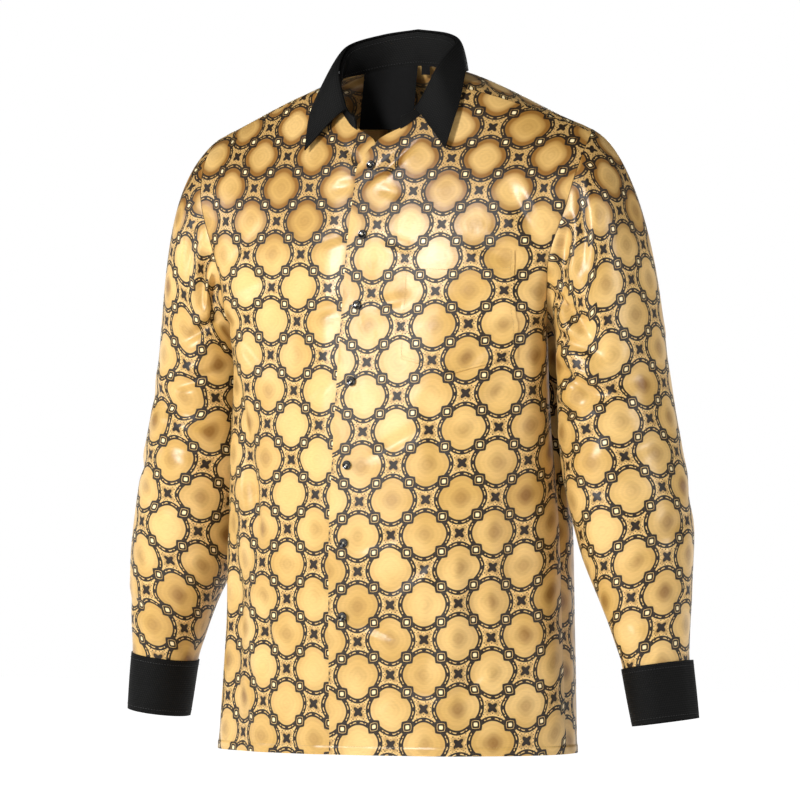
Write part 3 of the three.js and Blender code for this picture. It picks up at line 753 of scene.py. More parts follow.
def satin_material(name, inside=False):
    material, tree, shader, where, u, v = new_material(name)
    p = (u + v) / TRELLIS
    q = (u - v) / TRELLIS
    across, down = p.wrap().size(), q.wrap().size()
    cushion = (across**CORNER_ROUNDING + down**CORNER_ROUNDING) ** (1 / CORNER_ROUNDING)

    corner_a, corner_b = across.flip() - 0.5, down.flip() - 0.5
    lozenge = (corner_a + down).least(corner_b + across)
    round_link = hypotenuse(corner_a, down).least(hypotenuse(corner_b, across))
    link = lozenge * 0.55 + round_link * 0.45

    bead_step = (p * BEADS_A_CELL).wrap().size().most((q * BEADS_A_CELL).wrap().size())
    lines = cushion.line(*INNER_LINE).most(cushion.line(*OUTER_LINE))
    beads = cushion.line(*BEAD_LINE) * bead_step.ramp(0.40, 0.30)
    chain = lines.most(beads) * link.ramp(0.158, 0.164)
    rings = link.line(*LINK_RING).most(link.line(*LINK_EYE))
    petals = flower(corner_a, corner_b)
    motif = petals.ramp(0.098, 0.088)
    dots = hypotenuse((p * DOTS_A_CELL).wrap(), (q * DOTS_A_CELL).wrap()).ramp(0.34, 0.24)
    chance = noise(tree, where, 420.0, 1.0).ramp(0.44, 0.52)
    free = cushion.ramp(0.490, 0.500) * petals.ramp(0.112, 0.120) * link.ramp(0.175, 0.185)
    dots = dots * chance * free
    dark = chain.most(rings).most(motif).most(dots * 0.85)

    patchy = noise(tree, where, 9.0, 2.0)
    soft_rings = (cushion * 74.0).cosine() * 0.035
    rim = cushion.ramp(0.20, 0.43)
    heart = cushion.ramp(0.30, 0.03)
    swap = patchy.ramp(0.44, 0.56)
    # Cloth that faces sideways gets darker cell hearts: painted shade.
    upper, painted_side_shade = painted_shade_by_place(tree, patchy)
    # Painted shade up on the shoulders: rims darker, hearts lighter, and the whole cell darker on the
    # next line. The rest of the cell shading is the print's own.
    shade = rim * (upper * 0.76 + 0.22) + heart * (swap * 0.38 + painted_side_shade * 0.50) * (upper * -0.7 + 1.0)
    shade = shade + upper * 0.22 + soft_rings
    in_cell = cushion.ramp(0.430, 0.420)
    gold = mixed(tree, patchy.ramp(0.3, 0.7), GOLD_LIGHT, GOLD_MIDDLE)
    gold = mixed(tree, shade.most(0.0).least(0.92), gold, GOLD_DEEP)
    # The ground is browner up on the shoulders, which is painted shade, and darker round the flowers,
    # which is print.
    ground = mixed(tree, (petals.ramp(0.20, 0.09) * 0.6).most(upper * 0.40 + 0.10), GOLD_LIGHT, GOLD_DEEP)
    gold = mixed(tree, in_cell, ground, gold)
    gold = mixed(tree, link.ramp(0.052, 0.040), gold, LINK_PALE)
    colour = mixed(tree, dark, gold, LINE_DARK)

    threads = noise(tree, where, 900.0, 2.0, (0.12, 1.6, 1))
    colour = mixed(tree, threads.ramp(0.35, 0.75) * 0.14, colour, GOLD_DEEP)
    if inside:
        colour = mixed(tree, threads.ramp(0.1, 0.9) * 0.16 + 0.10, colour, INSIDE_PALE)
    wire(tree, shader, Base_Color=colour, Roughness=dark * 0.16 + threads * 0.14 + 0.26)
    set_sockets(shader, Specular_IOR_Level=0.42, Sheen_Weight=0.08, Sheen_Roughness=0.35,
                Sheen_Tint=(1.0, 0.86, 0.56, 1))
    wrinkle = noise(tree, where, 30.0, 3.0, (1.0, 0.55, 1))
    bump(tree, shader, threads * 0.08 + dark * 0.10 + wrinkle * 1.2, 0.35, 0.0025)
    return material


# Black cloth with a fine dotted weave, and the small parts

def black_material(name, pitch=0.0030, light=(0.0075, 0.0075, 0.0068)):
    material, tree, shader, where, u, v = new_material(name)
    row_a = (u + v * 0.577) / pitch
    row_b = (v * 1.155) / pitch
    raised = hypotenuse(row_a.wrap(), row_b.wrap()).ramp(0.46, 0.20)
    fleck = noise(tree, where, 1500.0, 1.0)
    colour = mixed(tree, raised * 0.7 + fleck.ramp(0.45, 0.8) * 0.3, (0.0012, 0.0012, 0.0012), light)
    wire(tree, shader, Base_Color=colour, Roughness=raised * -0.12 + 0.72)
    set_sockets(shader, Specular_IOR_Level=0.14)
    bump(tree, shader, raised + fleck * 0.3, 0.5, 0.0004)
    return material


def button_material():
    material, tree, shader, where, u, v = new_material("button_black")
    cloud = noise(tree, where, 260.0, 3.0)
    colour = mixed(tree, cloud.ramp(0.4, 0.75), (0.004, 0.004, 0.0045), (0.022, 0.021, 0.020))
    wire(tree, shader, Base_Color=colour, Roughness=cloud * 0.10 + 0.10)
    set_sockets(shader, Coat_Weight=0.6, Coat_Roughness=0.08)
    return material


def thread_material(name, low, high):
    material, tree, shader, where, u, v = new_material(name)
    place = tree.nodes.new("ShaderNodeTexCoord").outputs["Object"]
    twist = noise(tree, place, 2600.0, 1.0)
    wire(tree, shader, Base_Color=mixed(tree, twist.ramp(0.35, 0.7), low, high))
    set_sockets(shader, Roughness=0.55)
    return material


satin = satin_material("satin_outside")
satin_back = satin_material("satin_inside", inside=True)
black = black_material("black_dotted")
label_cloth = black_material("label_damask", 0.0012, (0.009, 0.009, 0.0095))
button_black = button_material()
gold_thread = thread_material("gold_thread", (0.42, 0.27, 0.09), (0.62, 0.44, 0.18))
black_thread = thread_material("black_thread", (0.010, 0.010, 0.010), (0.035, 0.035, 0.035))
pale_thread = thread_material("pale_thread", (0.45, 0.38, 0.25), (0.72, 0.64, 0.46))
SATIN = [satin, satin_back]


# Fronts, back and yoke

COLUMNS = np.linspace(0, 1 - SIDE_TRIM, 72)
CHEST_ROW = 1.3
# Each stop: low row, high row, steps between them. The hem's turn needs close rows.
BELOW_ARMPIT = ((0, 0.03, 12), (0.03, ARMPIT, 106))
ARMPIT_TO_CHEST = (ARMPIT, CHEST_ROW, 24)
CHEST_TO_NECK = (CHEST_ROW, NECK_PIT_ROW, 30)
# The lapping front is cut a little across from the other, so the print breaks at its free edge.
LAP_SHIFT = np.array([24.0, 6.0])


def rows_between(*stops):
    """Rows through the given stops, each with its own count."""
    runs = [np.linspace(low, high, count, endpoint=False) for low, high, count in stops]
    return np.concatenate(runs + [[stops[-1][1]]])


front_rows = rows_between(*BELOW_ARMPIT, ARMPIT_TO_CHEST, CHEST_TO_NECK,
                          (NECK_PIT_ROW, FRONT_YOKE_ROW - FRONT_YOKE_TRIM, 22))
stand_rows = rows_between(*BELOW_ARMPIT, ARMPIT_TO_CHEST, CHEST_TO_NECK)
ARMPIT_INDEX = sum(count for _, _, count in BELOW_ARMPIT)
CHEST_INDEX = ARMPIT_INDEX + ARMPIT_TO_CHEST[2]


def lapped(points, hand):
    """The right front lies under the left one."""
    return points if hand > 0 else sunk(points, hand)


def front_patches(hand):
    main = body_point("front", hand, COLUMNS[None], front_rows[:, None])
    widths = np.linspace(BUTTON_STAND, 0, 7)
    strip = stand_point(hand, widths[None], stand_rows[:, None])
    strip[:, -1] = main[:len(stand_rows), 0]
    chart = body_chart(main, CHEST_INDEX)
    chart[..., 0] *= hand
    strip_up = np.interp(strip[..., 2], main[:len(stand_rows), 0, 2], chart[:len(stand_rows), 0, 1])
    strip_chart = np.stack([np.broadcast_to(-hand * widths, strip_up.shape), strip_up], -1)
    shift = LAP_SHIFT if hand > 0 else 0
    return [Patch(lapped(main, hand), chart + shift, hand < 0),
            Patch(lapped(strip, hand), strip_chart + shift, hand < 0)]


for side, hand in HANDS:
    cloth(f"shirt_front_{side}", front_patches(hand), SATIN,
          node=f"front_{side}")


def back_patch(hand):
    points = body_point("back", hand, COLUMNS[None], back_rows[:, None])
    chart = body_chart(points, ARMPIT_INDEX)
    chart[..., 0] *= -hand
    return Patch(points, chart, hand > 0)


back_rows = rows_between(*BELOW_ARMPIT, (ARMPIT, 1.2, 18), (1.2, BACK_YOKE_ROW - ROW_TRIM, 26))
cloth("shirt_back", [back_patch(1), back_patch(-1)], SATIN, node="back")


def yoke_patches(hand):
    back_part = rows_between((BACK_YOKE_ROW + ROW_TRIM, NECK_BACK_ROW, 22), (NECK_BACK_ROW, RIDGE, 20))
    front_part = np.linspace(RIDGE, FRONT_YOKE_ROW + FRONT_YOKE_TRIM, 8)
    rear = body_point("back", hand, COLUMNS[None], back_part[:, None])
    fore = body_point("front", hand, COLUMNS[None], front_part[:, None])
    fore[0] = rear[-1]
    whole = np.concatenate([rear, fore[1:]])
    across = (along(whole * [hand, 1, 1], 1) + whole[:, :1, 0] * hand) * -hand
    chart = np.stack([across, along(whole, 0)], -1)
    return [Patch(whole, chart, hand > 0)]


cloth("shirt_yoke", yoke_patches(1) + yoke_patches(-1), SATIN, node="yoke")


# Sleeves

class Walk:
    """A walk along a chain of points by share of its length."""

    def __init__(self, points):
        self.points = points
        steps = np.linalg.norm(np.diff(points, axis=0), axis=1)
        self.length = np.concatenate([[0], np.cumsum(steps)])

    def __call__(self, share):
        target = np.clip(share, 0, 1) * self.length[-1]
        return np.stack([np.interp(target, self.length, self.points[:, i]) for i in range(3)], -1)


HOLE_STEPS = np.linspace(ARMPIT, RIDGE, 61)
front_hole = Walk(front_half(np.ones(61), HOLE_STEPS))
back_hole = Walk(back_half(np.ones(61), HOLE_STEPS))
arm = [column(ARM, field) for field in range(1, 6)]


def armhole_at(rounds):
    return np.where((rounds < 0.5)[..., None], front_hole(rounds * 2), back_hole(2 - rounds * 2))


def ring_point(rounds, down, spread=0.0):
    rounds, down = together(rounds, down)
    x, y, near, wide, deep = [axis(down)[..., 0] for axis in arm]
    turn = rounds * 2 * np.pi
    lean = (arm[0](down + 5)[..., 0] - arm[0](down - 5)[..., 0]) / 10
    half = np.where(np.cos(turn) > 0, near, wide)
    out = -np.cos(turn) * (half + spread)
    rear = -np.sin(turn) * (deep + spread)
    return np.stack([x + out, y + rear, -down + out * lean], -1)


def cap_point(rounds, share):
    top = (1 - np.cos(rounds * 2 * np.pi)) / 2
    sway = np.sin(rounds * 2 * np.pi)
    heading = unit(np.stack([0.9 + 0 * top, -0.18 * sway, -0.32 - 0.14 * top], -1))
    start = armhole_at(rounds) + heading * SEAM_GAP * 2
    end = ring_point(rounds, SLEEVE_TOP_DOWN)
    leave = (42 + 150 * top)[..., None]
    arrive = (44 + 150 * top)[..., None]
    downward = unit(np.array([0.15, 0, -1]))
    return bezier(start, start + heading * leave / 3, end - downward * arrive / 3, end, share)


CAP_SHARE = 0.4


def plain_sleeve(rounds, share):
    rounds, share = together(rounds, share)
    k = np.clip((share - CAP_SHARE) / (1 - CAP_SHARE), 0, 1)
    lower = ring_point(rounds, SLEEVE_TOP_DOWN + k * (CUFF_TOP_DOWN - SEAM_GAP - SLEEVE_TOP_DOWN))
    upper = cap_point(rounds, np.clip(share / CAP_SHARE, 0, 1))
    return np.where((share <= CAP_SHARE)[..., None], upper, lower)


def sleeve_normal(rounds, share, step=0.002):
    low, high = np.maximum(0.0005, share - step), np.minimum(0.9995, share + step)
    across = plain_sleeve((rounds + step) % 1, share) - plain_sleeve((rounds + 1 - step) % 1, share)
    lengthwise = plain_sleeve(rounds, high) - plain_sleeve(rounds, low)
    return unit(np.cross(lengthwise, across))


def sleeve_point(rounds, share, hand, lift=0.0):
    rounds, share = together(np.asarray(rounds, float) % 1, share)
    plain = plain_sleeve(rounds, share)
    degrees = rounds * 360
    down = -plain[..., 2]
    folds = SLEEVE_FOLDS if hand > 0 else RIGHT_SLEEVE_FOLDS
    depth = pressed(folds, degrees, down)
    depth = depth + ripple(degrees, down, 90, 1.0, 21 if hand > 0 else 22) * np.sin(np.pi * rounds) ** 2
    for angle, deep in CUFF_GATHERS:
        reach = smooth((share - 0.86) / 0.14) * np.exp(-(((degrees - angle) / 7) ** 2))
        depth = depth + deep * reach * smooth((1.0 - share) / 0.02 + 0.3)
    fade = smooth(share / 0.05) * smooth((1 - share) / 0.03 + 0.05)
    placed = plain + sleeve_normal(rounds, share) * (lift - depth * fade)[..., None]
    return placed if hand > 0 else mirror(placed)


def sleeve_patches(hand):
    rounds = np.linspace(0, 1, 110)
    shares = rows_between((0, CAP_SHARE, 70), (CAP_SHARE, 1, 100))
    points = sleeve_point(rounds[None], shares[:, None], hand)
    chart = grid_chart(points)
    chart[..., 0] *= -hand
    chart[..., 1] = along(points[::-1], 0)[::-1]
    return [Patch(points, chart, hand > 0)]


for side, hand in HANDS:
    cloth(f"shirt_sleeve_{side}", sleeve_patches(hand), SATIN,
          node=f"sleeve_{side}")

SLEEVE_SIDES = 22
PLACKET = {"from": 15 / SLEEVE_SIDES, "to": 16 / SLEEVE_SIDES, "start": 0.7, "end": 0.98}
for side, hand in HANDS:
    rounds = np.linspace(PLACKET["from"], PLACKET["to"], 7)
    shares = np.linspace(PLACKET["start"], PLACKET["end"], 50)
    points = sleeve_point(rounds[None], shares[:, None], hand, CLOTH + 0.5)
    cloth(f"sleeve_placket_strip_{side}", [Patch(points, grid_chart(points), hand > 0)], SATIN,
          node=f"sleeve_placket_{side}")


# Cuffs

CUFF_SPREAD = 1.6
CUFF_START = 0.66
cuff_girth = math.pi * float(arm[3](CUFF_MIDDLE_DOWN)[0] + arm[4](CUFF_MIDDLE_DOWN)[0])
cuff_lap = CUFF_LAP / cuff_girth


def cuff_point(rounds, share, hand, lift=0.0):
    rounds, share = together(rounds, share)
    climb = (STIFF_CLOTH + SEAM_GAP * 2) * smooth((rounds - CUFF_START - 1 + cuff_lap * 2) / cuff_lap)
    swell = 0.5 * np.sin(np.pi * share) + 0.35 * np.sin(rounds * 4 * np.pi + 0.8)
    point = ring_point(rounds, CUFF_TOP_DOWN + share * CUFF_HEIGHT, CUFF_SPREAD + climb + lift + swell)
    return point if hand > 0 else mirror(point)


for side, hand in HANDS:
    rounds = np.linspace(CUFF_START, CUFF_START + 1 + cuff_lap, 130)
    shares = np.linspace(0, 1, 26)
    points = cuff_point(rounds[None], shares[:, None], hand)
    cloth(f"shirt_cuff_{side}", [Patch(points, grid_chart(points), hand > 0)], [black],
          thickness=STIFF_CLOTH, node=f"cuff_{side}")


# Collar

neck_rows = np.concatenate([back_half(np.zeros(25), np.linspace(NECK_BACK_ROW, RIDGE, 25)),
                            front_half(np.zeros(37), np.linspace(RIDGE, 1.69, 37))[1:]])
neckline = Walk(neck_rows)
collar_roll = column([row[:2] for row in COLLAR] + [STAND_END], 1)
collar_edge = column(COLLAR, 2)


def handed(points, turn):
    return np.where((turn < 0)[..., None], mirror(points), points)


def stand_wall(turn, share):
    turn, share = together(turn, share)
    size = np.abs(turn)
    base = neckline(size) + np.array([0, 0, STAND_RISE - STAND_TUCK])
    top = collar_roll(size)
    return handed(base + (top - base) * share[..., None], turn)


def leaf_point(turn, share, lift=0.0):
    turn, share = together(turn, share)
    size = np.abs(turn)
    roll = collar_roll(size)
    out = unit(np.stack([roll[..., 0] * 0.7, roll[..., 1] + 0.001, 0 * size], -1))
    top = roll + out * (STIFF_CLOTH + SEAM_GAP) + np.array([0, 0, 1.5])
    edge = collar_edge(size)
    shoulder = top + out * 6 + np.array([0, 0, 3])
    fall = edge + (top - edge) * 0.4 + out * 3
    return handed(bezier(top, shoulder, fall, edge, share) + out * lift, turn)


stand_points = stand_wall(np.linspace(-1, 1, 150)[None], np.linspace(0, 1, 16)[:, None])
cloth("shirt_collar_stand", [Patch(stand_points, grid_chart(stand_points))], [black],
      thickness=STIFF_CLOTH, node="collar_stand")
leaf_points = leaf_point(np.linspace(-LEAF_END, LEAF_END, 170)[None],
                         np.linspace(0, 1, 34)[:, None])
cloth("shirt_collar_leaf", [Patch(leaf_points, grid_chart(leaf_points), True)], [black],
      thickness=STIFF_CLOTH, node="collar_leaf")


# Pieces that lie on a panel

face_points = body_point("front", 1, np.linspace(0, 0.95, 160)[None],
                         np.linspace(0.5, NECK_PIT_ROW, 260)[:, None])
face_normals = unit(np.cross(np.gradient(face_points, axis=1), np.gradient(face_points, axis=0)))


def front_left_face(x, z, lift=0.0):
    """The point of the lapping front at a given x and height, from a fine grid of it."""
    x, z = together(x, z)
    found = np.empty(x.shape + (3,))
    for place in np.ndindex(x.shape):
        gap = (face_points[..., 0] - x[place]) ** 2 + (face_points[..., 2] - z[place]) ** 2
        nearest = np.unravel_index(np.argmin(gap), gap.shape)
        near, facing = face_points[nearest], face_normals[nearest]
        slope = facing[0] * (x[place] - near[0]) + facing[2] * (z[place] - near[2])
        y = near[1] - slope / facing[1]
        found[place] = np.array([x[place], y, z[place]]) + facing * lift
    return found


across = np.linspace(0, 1, 34)[None]
share = np.linspace(0, 1, 38)[:, None]
pocket_x = POCKET["left"] + across * (POCKET["right"] - POCKET["left"]) + 0 * share
pocket_low = POCKET["bottom"] + POCKET["point"] * np.abs(across * 2 - 1)
pocket_z = pocket_low + share * (POCKET["top"] - pocket_low)
pocket_points = front_left_face(pocket_x, pocket_z, CLOTH + 0.35)
chest = body_point("front", 1, COLUMNS[None], front_rows[:, None])
chest_chart = body_chart(chest, CHEST_INDEX) + LAP_SHIFT
pocket_chart = np.empty(pocket_points.shape[:2] + (2,))
for place in np.ndindex(pocket_points.shape[:2]):
    gap = np.linalg.norm(chest - pocket_points[place], axis=-1)
    nearest = np.unravel_index(np.argmin(gap), gap.shape)
    pocket_chart[place] = chest_chart[nearest] + (pocket_points[place] - chest[nearest])[[0, 2]]
cloth("shirt_pocket", [Patch(pocket_points, pocket_chart)], SATIN,
      node="pocket")

back_seam = back_half(np.zeros(400), np.linspace(NECK_BACK_ROW, RIDGE, 400))


def hanging_label(name, box, material, node, thickness):
    """Sewn along its top to the back neck seam and hanging free below."""
    x = np.linspace(box["left"], box["right"], 16)[None]
    share = np.linspace(0, 1, 20)[:, None]
    seam_y = np.interp(np.abs(x), back_seam[:, 0], back_seam[:, 1])
    seam_z = np.interp(np.abs(x), back_seam[:, 0], back_seam[:, 2])
    inward = 1 - box["inset"] / np.hypot(x, seam_y)
    top = seam_z - LABEL_DROP
    fall = (1 - share) * (top - box["bottom"])
    curl = 0.8 * np.sin(x / 17 + 0.6) * (1 - share)
    y = seam_y * inward - box["lean"] * fall + curl
    points = np.stack([x * inward + 0 * fall, y, top - fall], -1)
    cloth(name, [Patch(points, grid_chart(points), True)], [material],
          thickness=thickness, node=node)


hanging_label("neck_label_bare", LABEL, label_cloth, "neck_label", 0.5)
hanging_label("size_tab_bare", TAB, label_cloth, "size_tab", 0.4)


# Buttons: a turned rim, a dished face and two crossed strands of thread

# Radius and height of the turned outline, in shares of the button's own
BUTTON_PROFILE = [
    (0.02, 0), (0.70, 0), (0.90, 0.06), (0.985, 0.22), (1.0, 0.42), (0.985, 0.66), (0.93, 0.88),
    (0.85, 0.99), (0.76, 0.97), (0.69, 0.86), (0.64, 0.72), (0.56, 0.66), (0.30, 0.62), (0.02, 0.62),
]
BUTTON_SIDES = 40
STRAND_RINGS = 9
STRAND_SIDES = 6


def tube_faces(rings, sides, start=0):
    """Faces round a tube of rings, with both ends closed."""
    faces = []
    last = start + (rings - 1) * sides
    for ring in range(start, last, sides):
        for i in range(sides):
            k = (i + 1) % sides
            faces.append((ring + i, ring + k, ring + sides + k, ring + sides + i))
    return faces + [tuple(range(start + sides - 1, start - 1, -1)), tuple(range(last, last + sides))]


def turned_button(scale):
    angles = np.linspace(0, 2 * np.pi, BUTTON_SIDES, endpoint=False)
    radius = np.array([r * (BUTTON_RADIUS * scale) for r, _ in BUTTON_PROFILE])[:, None]
    height = np.array([h * (BUTTON_THICKNESS * scale) for _, h in BUTTON_PROFILE])[:, None]
    ring = np.stack([radius * np.cos(angles), radius * np.sin(angles), height + 0 * angles], -1)
    return ring.reshape(-1, 3), tube_faces(len(BUTTON_PROFILE), BUTTON_SIDES)


def sewn_thread(scale):
    """Two crossed bars of thread over the button's middle, each a bowed flat strand."""
    r, h = BUTTON_RADIUS * scale, BUTTON_THICKNESS * scale
    points, faces = [], []
    for angle in (math.pi / 4, -math.pi / 4):
        axis = np.array([math.cos(angle), math.sin(angle), 0])
        side = np.array([-axis[1], axis[0], 0])
        start = len(points)
        for t in np.linspace(-1, 1, STRAND_RINGS):
            middle = axis * t * 0.27 * r + np.array([0, 0, h * (0.60 + 0.20 * (1 - t * t))])
            for turn in np.linspace(0, 2 * np.pi, STRAND_SIDES, endpoint=False):
                points.append(middle + side * math.cos(turn) * 0.45
                              + np.array([0, 0, math.sin(turn) * 0.28]))
        faces += tube_faces(STRAND_RINGS, STRAND_SIDES, start)
    return np.array(points), faces


def settle(points, place, normal):
    turn = np.array(Vector((0, 0, 1)).rotation_difference(Vector(normal)).to_matrix())
    return points @ turn.T + place


def sew_button(name, node, place, normal, scale=1.0):
    for ending, shape, material, replaced in (("turned", turned_button, button_black, node),
                                              ("thread", sewn_thread, pale_thread, None)):
        points, faces = shape(scale)
        points = settle(points, place, normal)
        wear(make_object(f"{name}_{ending}", points, faces, [material], HARD_SHARP), replaced)


BESIDE_CENTRE = 0.4
BUTTON_SPAN = 8.0
for i, level in enumerate(BUTTON_LEVELS):
    place = front_left_face(BESIDE_CENTRE, level, SEAM_GAP)
    place[0] = 0
    above = front_left_face(BESIDE_CENTRE, level + BUTTON_SPAN)
    below = front_left_face(BESIDE_CENTRE, level - BUTTON_SPAN)
    facing = unit(np.cross(np.array([1.0, 0, 0]), above - below))
    sew_button(f"front_button_{i + 1}", f"button_{i + 1}", place, facing)


def surface_button(name, node, surface, u, v, step=0.01):
    across_here = surface(u + step, v) - surface(u - step, v)
    up_here = surface(u, v + step) - surface(u, v - step)
    facing = unit(np.cross(across_here, up_here))
    sew_button(name, node, surface(u, v) + facing * SEAM_GAP, facing, SMALL_BUTTON_SCALE)


surface_button("collar_button", "stand_button", stand_wall, -0.94, 0.62)
cuff_button_round = CUFF_START + 1 + 0.02
surface_button("cuff_button_l", "cuff_button_left", lambda u, v: cuff_point(u, 1 - v, 1),
               cuff_button_round, 0.5)
surface_button("cuff_button_r", "cuff_button_right", lambda u, v: cuff_point(u, v, -1),
               cuff_button_round, 0.5)


# Stitching: each stitch a short thread lying on the cloth

STITCH = 2.3
STITCH_GAP = 1.2
STITCH_SIDES = 5
STITCH_RINGS = ((0, 0.4), (0.25, 1), (0.75, 1), (1, 0.4))


def stitched(name, lines, material, radius=0.28):
    """One object with every stitch of the given lines."""
    points, faces, base = [], [], 0
    for line in lines:
        walk = Walk(np.asarray(line))
        whole = walk.length[-1]
        count = max(1, int(whole / (STITCH + STITCH_GAP)))
        starts = (np.arange(count) + 0.2) * whole / count
        for shift, size in STITCH_RINGS:
            here = walk((starts + shift * STITCH) / whole)
            ahead = walk((starts + shift * STITCH + 0.5) / whole)
            behind = walk((starts + shift * STITCH - 0.5) / whole)
            forward = unit(ahead - behind + 1e-9)
            side = unit(np.cross(forward, np.array([0.13, 0.31, 0.94])))
            over = np.cross(forward, side)
            for turn in np.arange(STITCH_SIDES) * 2 * np.pi / STITCH_SIDES:
                points.append(here + (side * math.cos(turn) + over * math.sin(turn)) * radius * size)

        def corner(ring, place, stitch):
            return base + (ring * STITCH_SIDES + place % STITCH_SIDES) * count + stitch

        for stitch in range(count):
            for ring in range(len(STITCH_RINGS) - 1):
                for k in range(STITCH_SIDES):
                    faces.append((corner(ring, k, stitch), corner(ring, k + 1, stitch),
                                  corner(ring + 1, k + 1, stitch), corner(ring + 1, k, stitch)))
            faces.append(tuple(corner(0, k, stitch) for k in reversed(range(STITCH_SIDES))))
            faces.append(tuple(corner(3, k, stitch) for k in range(STITCH_SIDES)))
        base += count * STITCH_SIDES * len(STITCH_RINGS)
    wear(make_object(name, np.concatenate(points), faces, [material], HARD_SHARP))


STITCH_LIFT = 0.18


def body_line(part, hand, s, at):
    """A stitch line on the body at the given s and at."""
    s, at = together(s, at)
    here = body_point(part, hand, s, at)
    low_s, high_s = np.maximum(s - 0.004, 0), np.minimum(s + 0.004, 1)
    across_step = body_point(part, hand, high_s, at) - body_point(part, hand, low_s, at)
    up_step = body_point(part, hand, s, at + 0.004) - body_point(part, hand, s, np.maximum(at - 0.004, 0))
    facing = unit(np.cross(across_step, up_step)) * hand * (1 if part == "front" else -1)
    return here + facing * STITCH_LIFT


def row_at_height(part, level):
    rows = np.linspace(0, 0.2, 200)
    half = front_half if part == "front" else back_half
    return float(np.interp(level, half(np.zeros(200), rows)[:, 2], rows))


hem_s = np.linspace(0, 0.985, 160)
hem_lines = []
for part in ("front", "back"):
    level = row_at_height(part, HEM_LEVEL + HEM_TURN)
    for hand in (1, -1):
        line = body_line(part, hand, hem_s, level)
        hem_lines.append(sunk(line, -1) if part == "front" and hand < 0 else line)
stitched("hem_stitches", hem_lines, gold_thread)

seam_lines = []
for hand in (1, -1):
    seam_lines.append(body_line("back", hand, np.linspace(0.005, 0.97, 90), BACK_YOKE_ROW + 0.03))
    seam_lines.append(body_line("front", hand, np.linspace(0.05, 0.97, 60), FRONT_YOKE_ROW + 0.025))
stitched("yoke_stitches", seam_lines, gold_thread, 0.24)

pocket_lift = pocket_points + np.array([0, -0.3, 0])
pocket_lines = [pocket_lift[:, 1], pocket_lift[:, -2], pocket_lift[1, 1:-1], pocket_lift[-7, 1:-1]]
stitched("pocket_stitches", pocket_lines, gold_thread, 0.24)

cuff_lines = []
for hand in (1, -1):
    rounds = np.linspace(CUFF_START + 0.02, CUFF_START + 1 + cuff_lap - 0.02, 200)
    for share_down in (0.085, 0.915):
        cuff_lines.append(cuff_point(rounds, np.full(200, share_down), hand, 0.2))
stitched("cuff_stitches", cuff_lines, black_thread)

leaf_turns = np.linspace(-LEAF_END + 0.02, LEAF_END - 0.02, 260)
leaf_lines = [leaf_point(leaf_turns, np.full(260, 0.93), 0.2)]
for end in (-1, 1):
    leaf_lines.append(leaf_point(np.full(60, end * (LEAF_END - 0.02)), np.linspace(0.06, 0.93, 60), 0.2))
stand_turns = np.linspace(-0.97, 0.97, 260)
stand_lines = []
for share_up in (0.12, 0.86):
    line = stand_wall(stand_turns, np.full(260, share_up))
    inward = unit(line * np.array([-1.0, -1.0, 0]))
    stand_lines.append(line + inward * (STIFF_CLOTH + 0.2))
stitched("collar_stitches", leaf_lines + stand_lines, black_thread)


# Stage, lights and camera

AIM = Vector((0, 0, -0.3696))
CAMERA_AZIMUTH = math.radians(27)
CAMERA_DISTANCE = 9.0
FRAME_WIDTH = 0.960
SENSOR = 36.0
FRAME_SHIFT = (3.0 / 800, -12.0 / 800)

toward = Vector((math.sin(CAMERA_AZIMUTH), -math.cos(CAMERA_AZIMUTH), 0))
camera_data = bpy.data.cameras.new("camera")
camera_data.sensor_width = SENSOR
camera_data.lens = SENSOR * CAMERA_DISTANCE / FRAME_WIDTH
camera_data.shift_x, camera_data.shift_y = FRAME_SHIFT
camera = bpy.data.objects.new("camera", camera_data)
camera.location = AIM + toward * CAMERA_DISTANCE
camera.rotation_euler = (AIM - camera.location).to_track_quat("-Z", "Y").to_euler()
bpy.context.collection.objects.link(camera)
bpy.context.scene.camera = camera


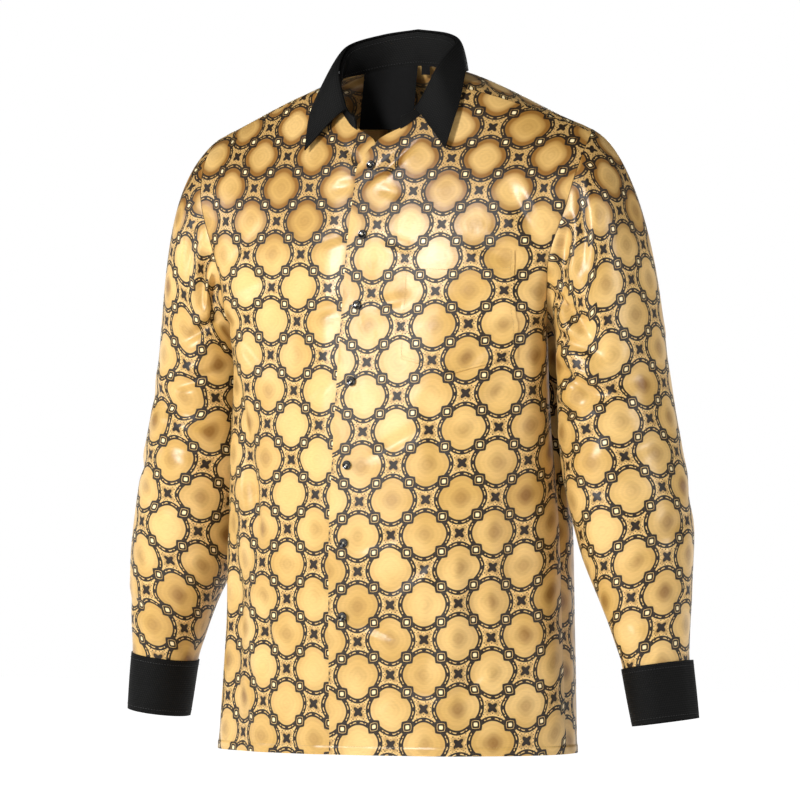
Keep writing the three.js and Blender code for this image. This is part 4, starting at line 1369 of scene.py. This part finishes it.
def stage_material():
    """Pale by the shirt and brighter far away, where it meets the white surroundings."""
    material = bpy.data.materials.new("pale_floor")
    material.use_nodes = True
    tree = material.node_tree
    shader = tree.nodes["Principled BSDF"]
    x, y, _ = parts(tree, tree.nodes.new("ShaderNodeTexCoord").outputs["Object"])
    far = hypotenuse(x, y).ramp(3.0, 7.0)
    wire(tree, shader, Emission_Strength=far * 0.58 + 0.42)
    set_sockets(shader, Base_Color=(0.92, 0.92, 0.92, 1), Roughness=0.9, Emission_Color=(1, 1, 1, 1))
    return material


FLOOR_LEVEL = -1.35
HALF_FLOOR = 14.0
floor_mesh = bpy.data.meshes.new("floor")
floor_corners = ((-1, -1), (1, -1), (1, 1), (-1, 1))
floor_mesh.from_pydata([(x * HALF_FLOOR, y * HALF_FLOOR, FLOOR_LEVEL) for x, y in floor_corners],
                       [], [(0, 1, 2, 3)])
floor_mesh.materials.append(stage_material())
floor = bpy.data.objects.new("floor", floor_mesh)
bpy.context.collection.objects.link(floor)

world = bpy.data.worlds.new("studio")
world.use_nodes = True
bpy.context.scene.world = world
LEVEL_BRIGHTNESS = 1.0
ABOVE_BRIGHTNESS = 0.06


def shade_world():
    """White around the horizon and darker overhead, so that folds keep their shadows."""
    tree = world.node_tree
    look_along = parts(tree, tree.nodes.new("ShaderNodeTexCoord").outputs["Generated"])
    high = look_along[2].ramp(0.06, 0.16)
    strength = high * (ABOVE_BRIGHTNESS - LEVEL_BRIGHTNESS) + LEVEL_BRIGHTNESS
    tree.links.new(strength.socket, tree.nodes["Background"].inputs["Strength"])
    tree.nodes["Background"].inputs["Color"].default_value = (1, 1, 1, 1)


shade_world()


def soft_light(name, azimuth, height, distance, size, power):
    light_data = bpy.data.lights.new(name, "AREA")
    light_data.size = size
    light_data.energy = power
    light = bpy.data.objects.new(name, light_data)
    angle = math.radians(azimuth)
    light.location = AIM + Vector((math.sin(angle) * distance, -math.cos(angle) * distance, height))
    light.rotation_euler = (AIM - light.location).to_track_quat("-Z", "Y").to_euler()
    bpy.context.collection.objects.link(light)


soft_light("key", -14, 1.3, 3.0, 0.5, 90)
soft_light("fill", 88, 0.9, 3.0, 0.6, 24)
soft_light("left", -66, 0.9, 3.0, 0.5, 15)
soft_light("rim", 205, 0.35, 3.0, 1.2, 24)

bpy.context.scene.view_settings.view_transform = "Standard"
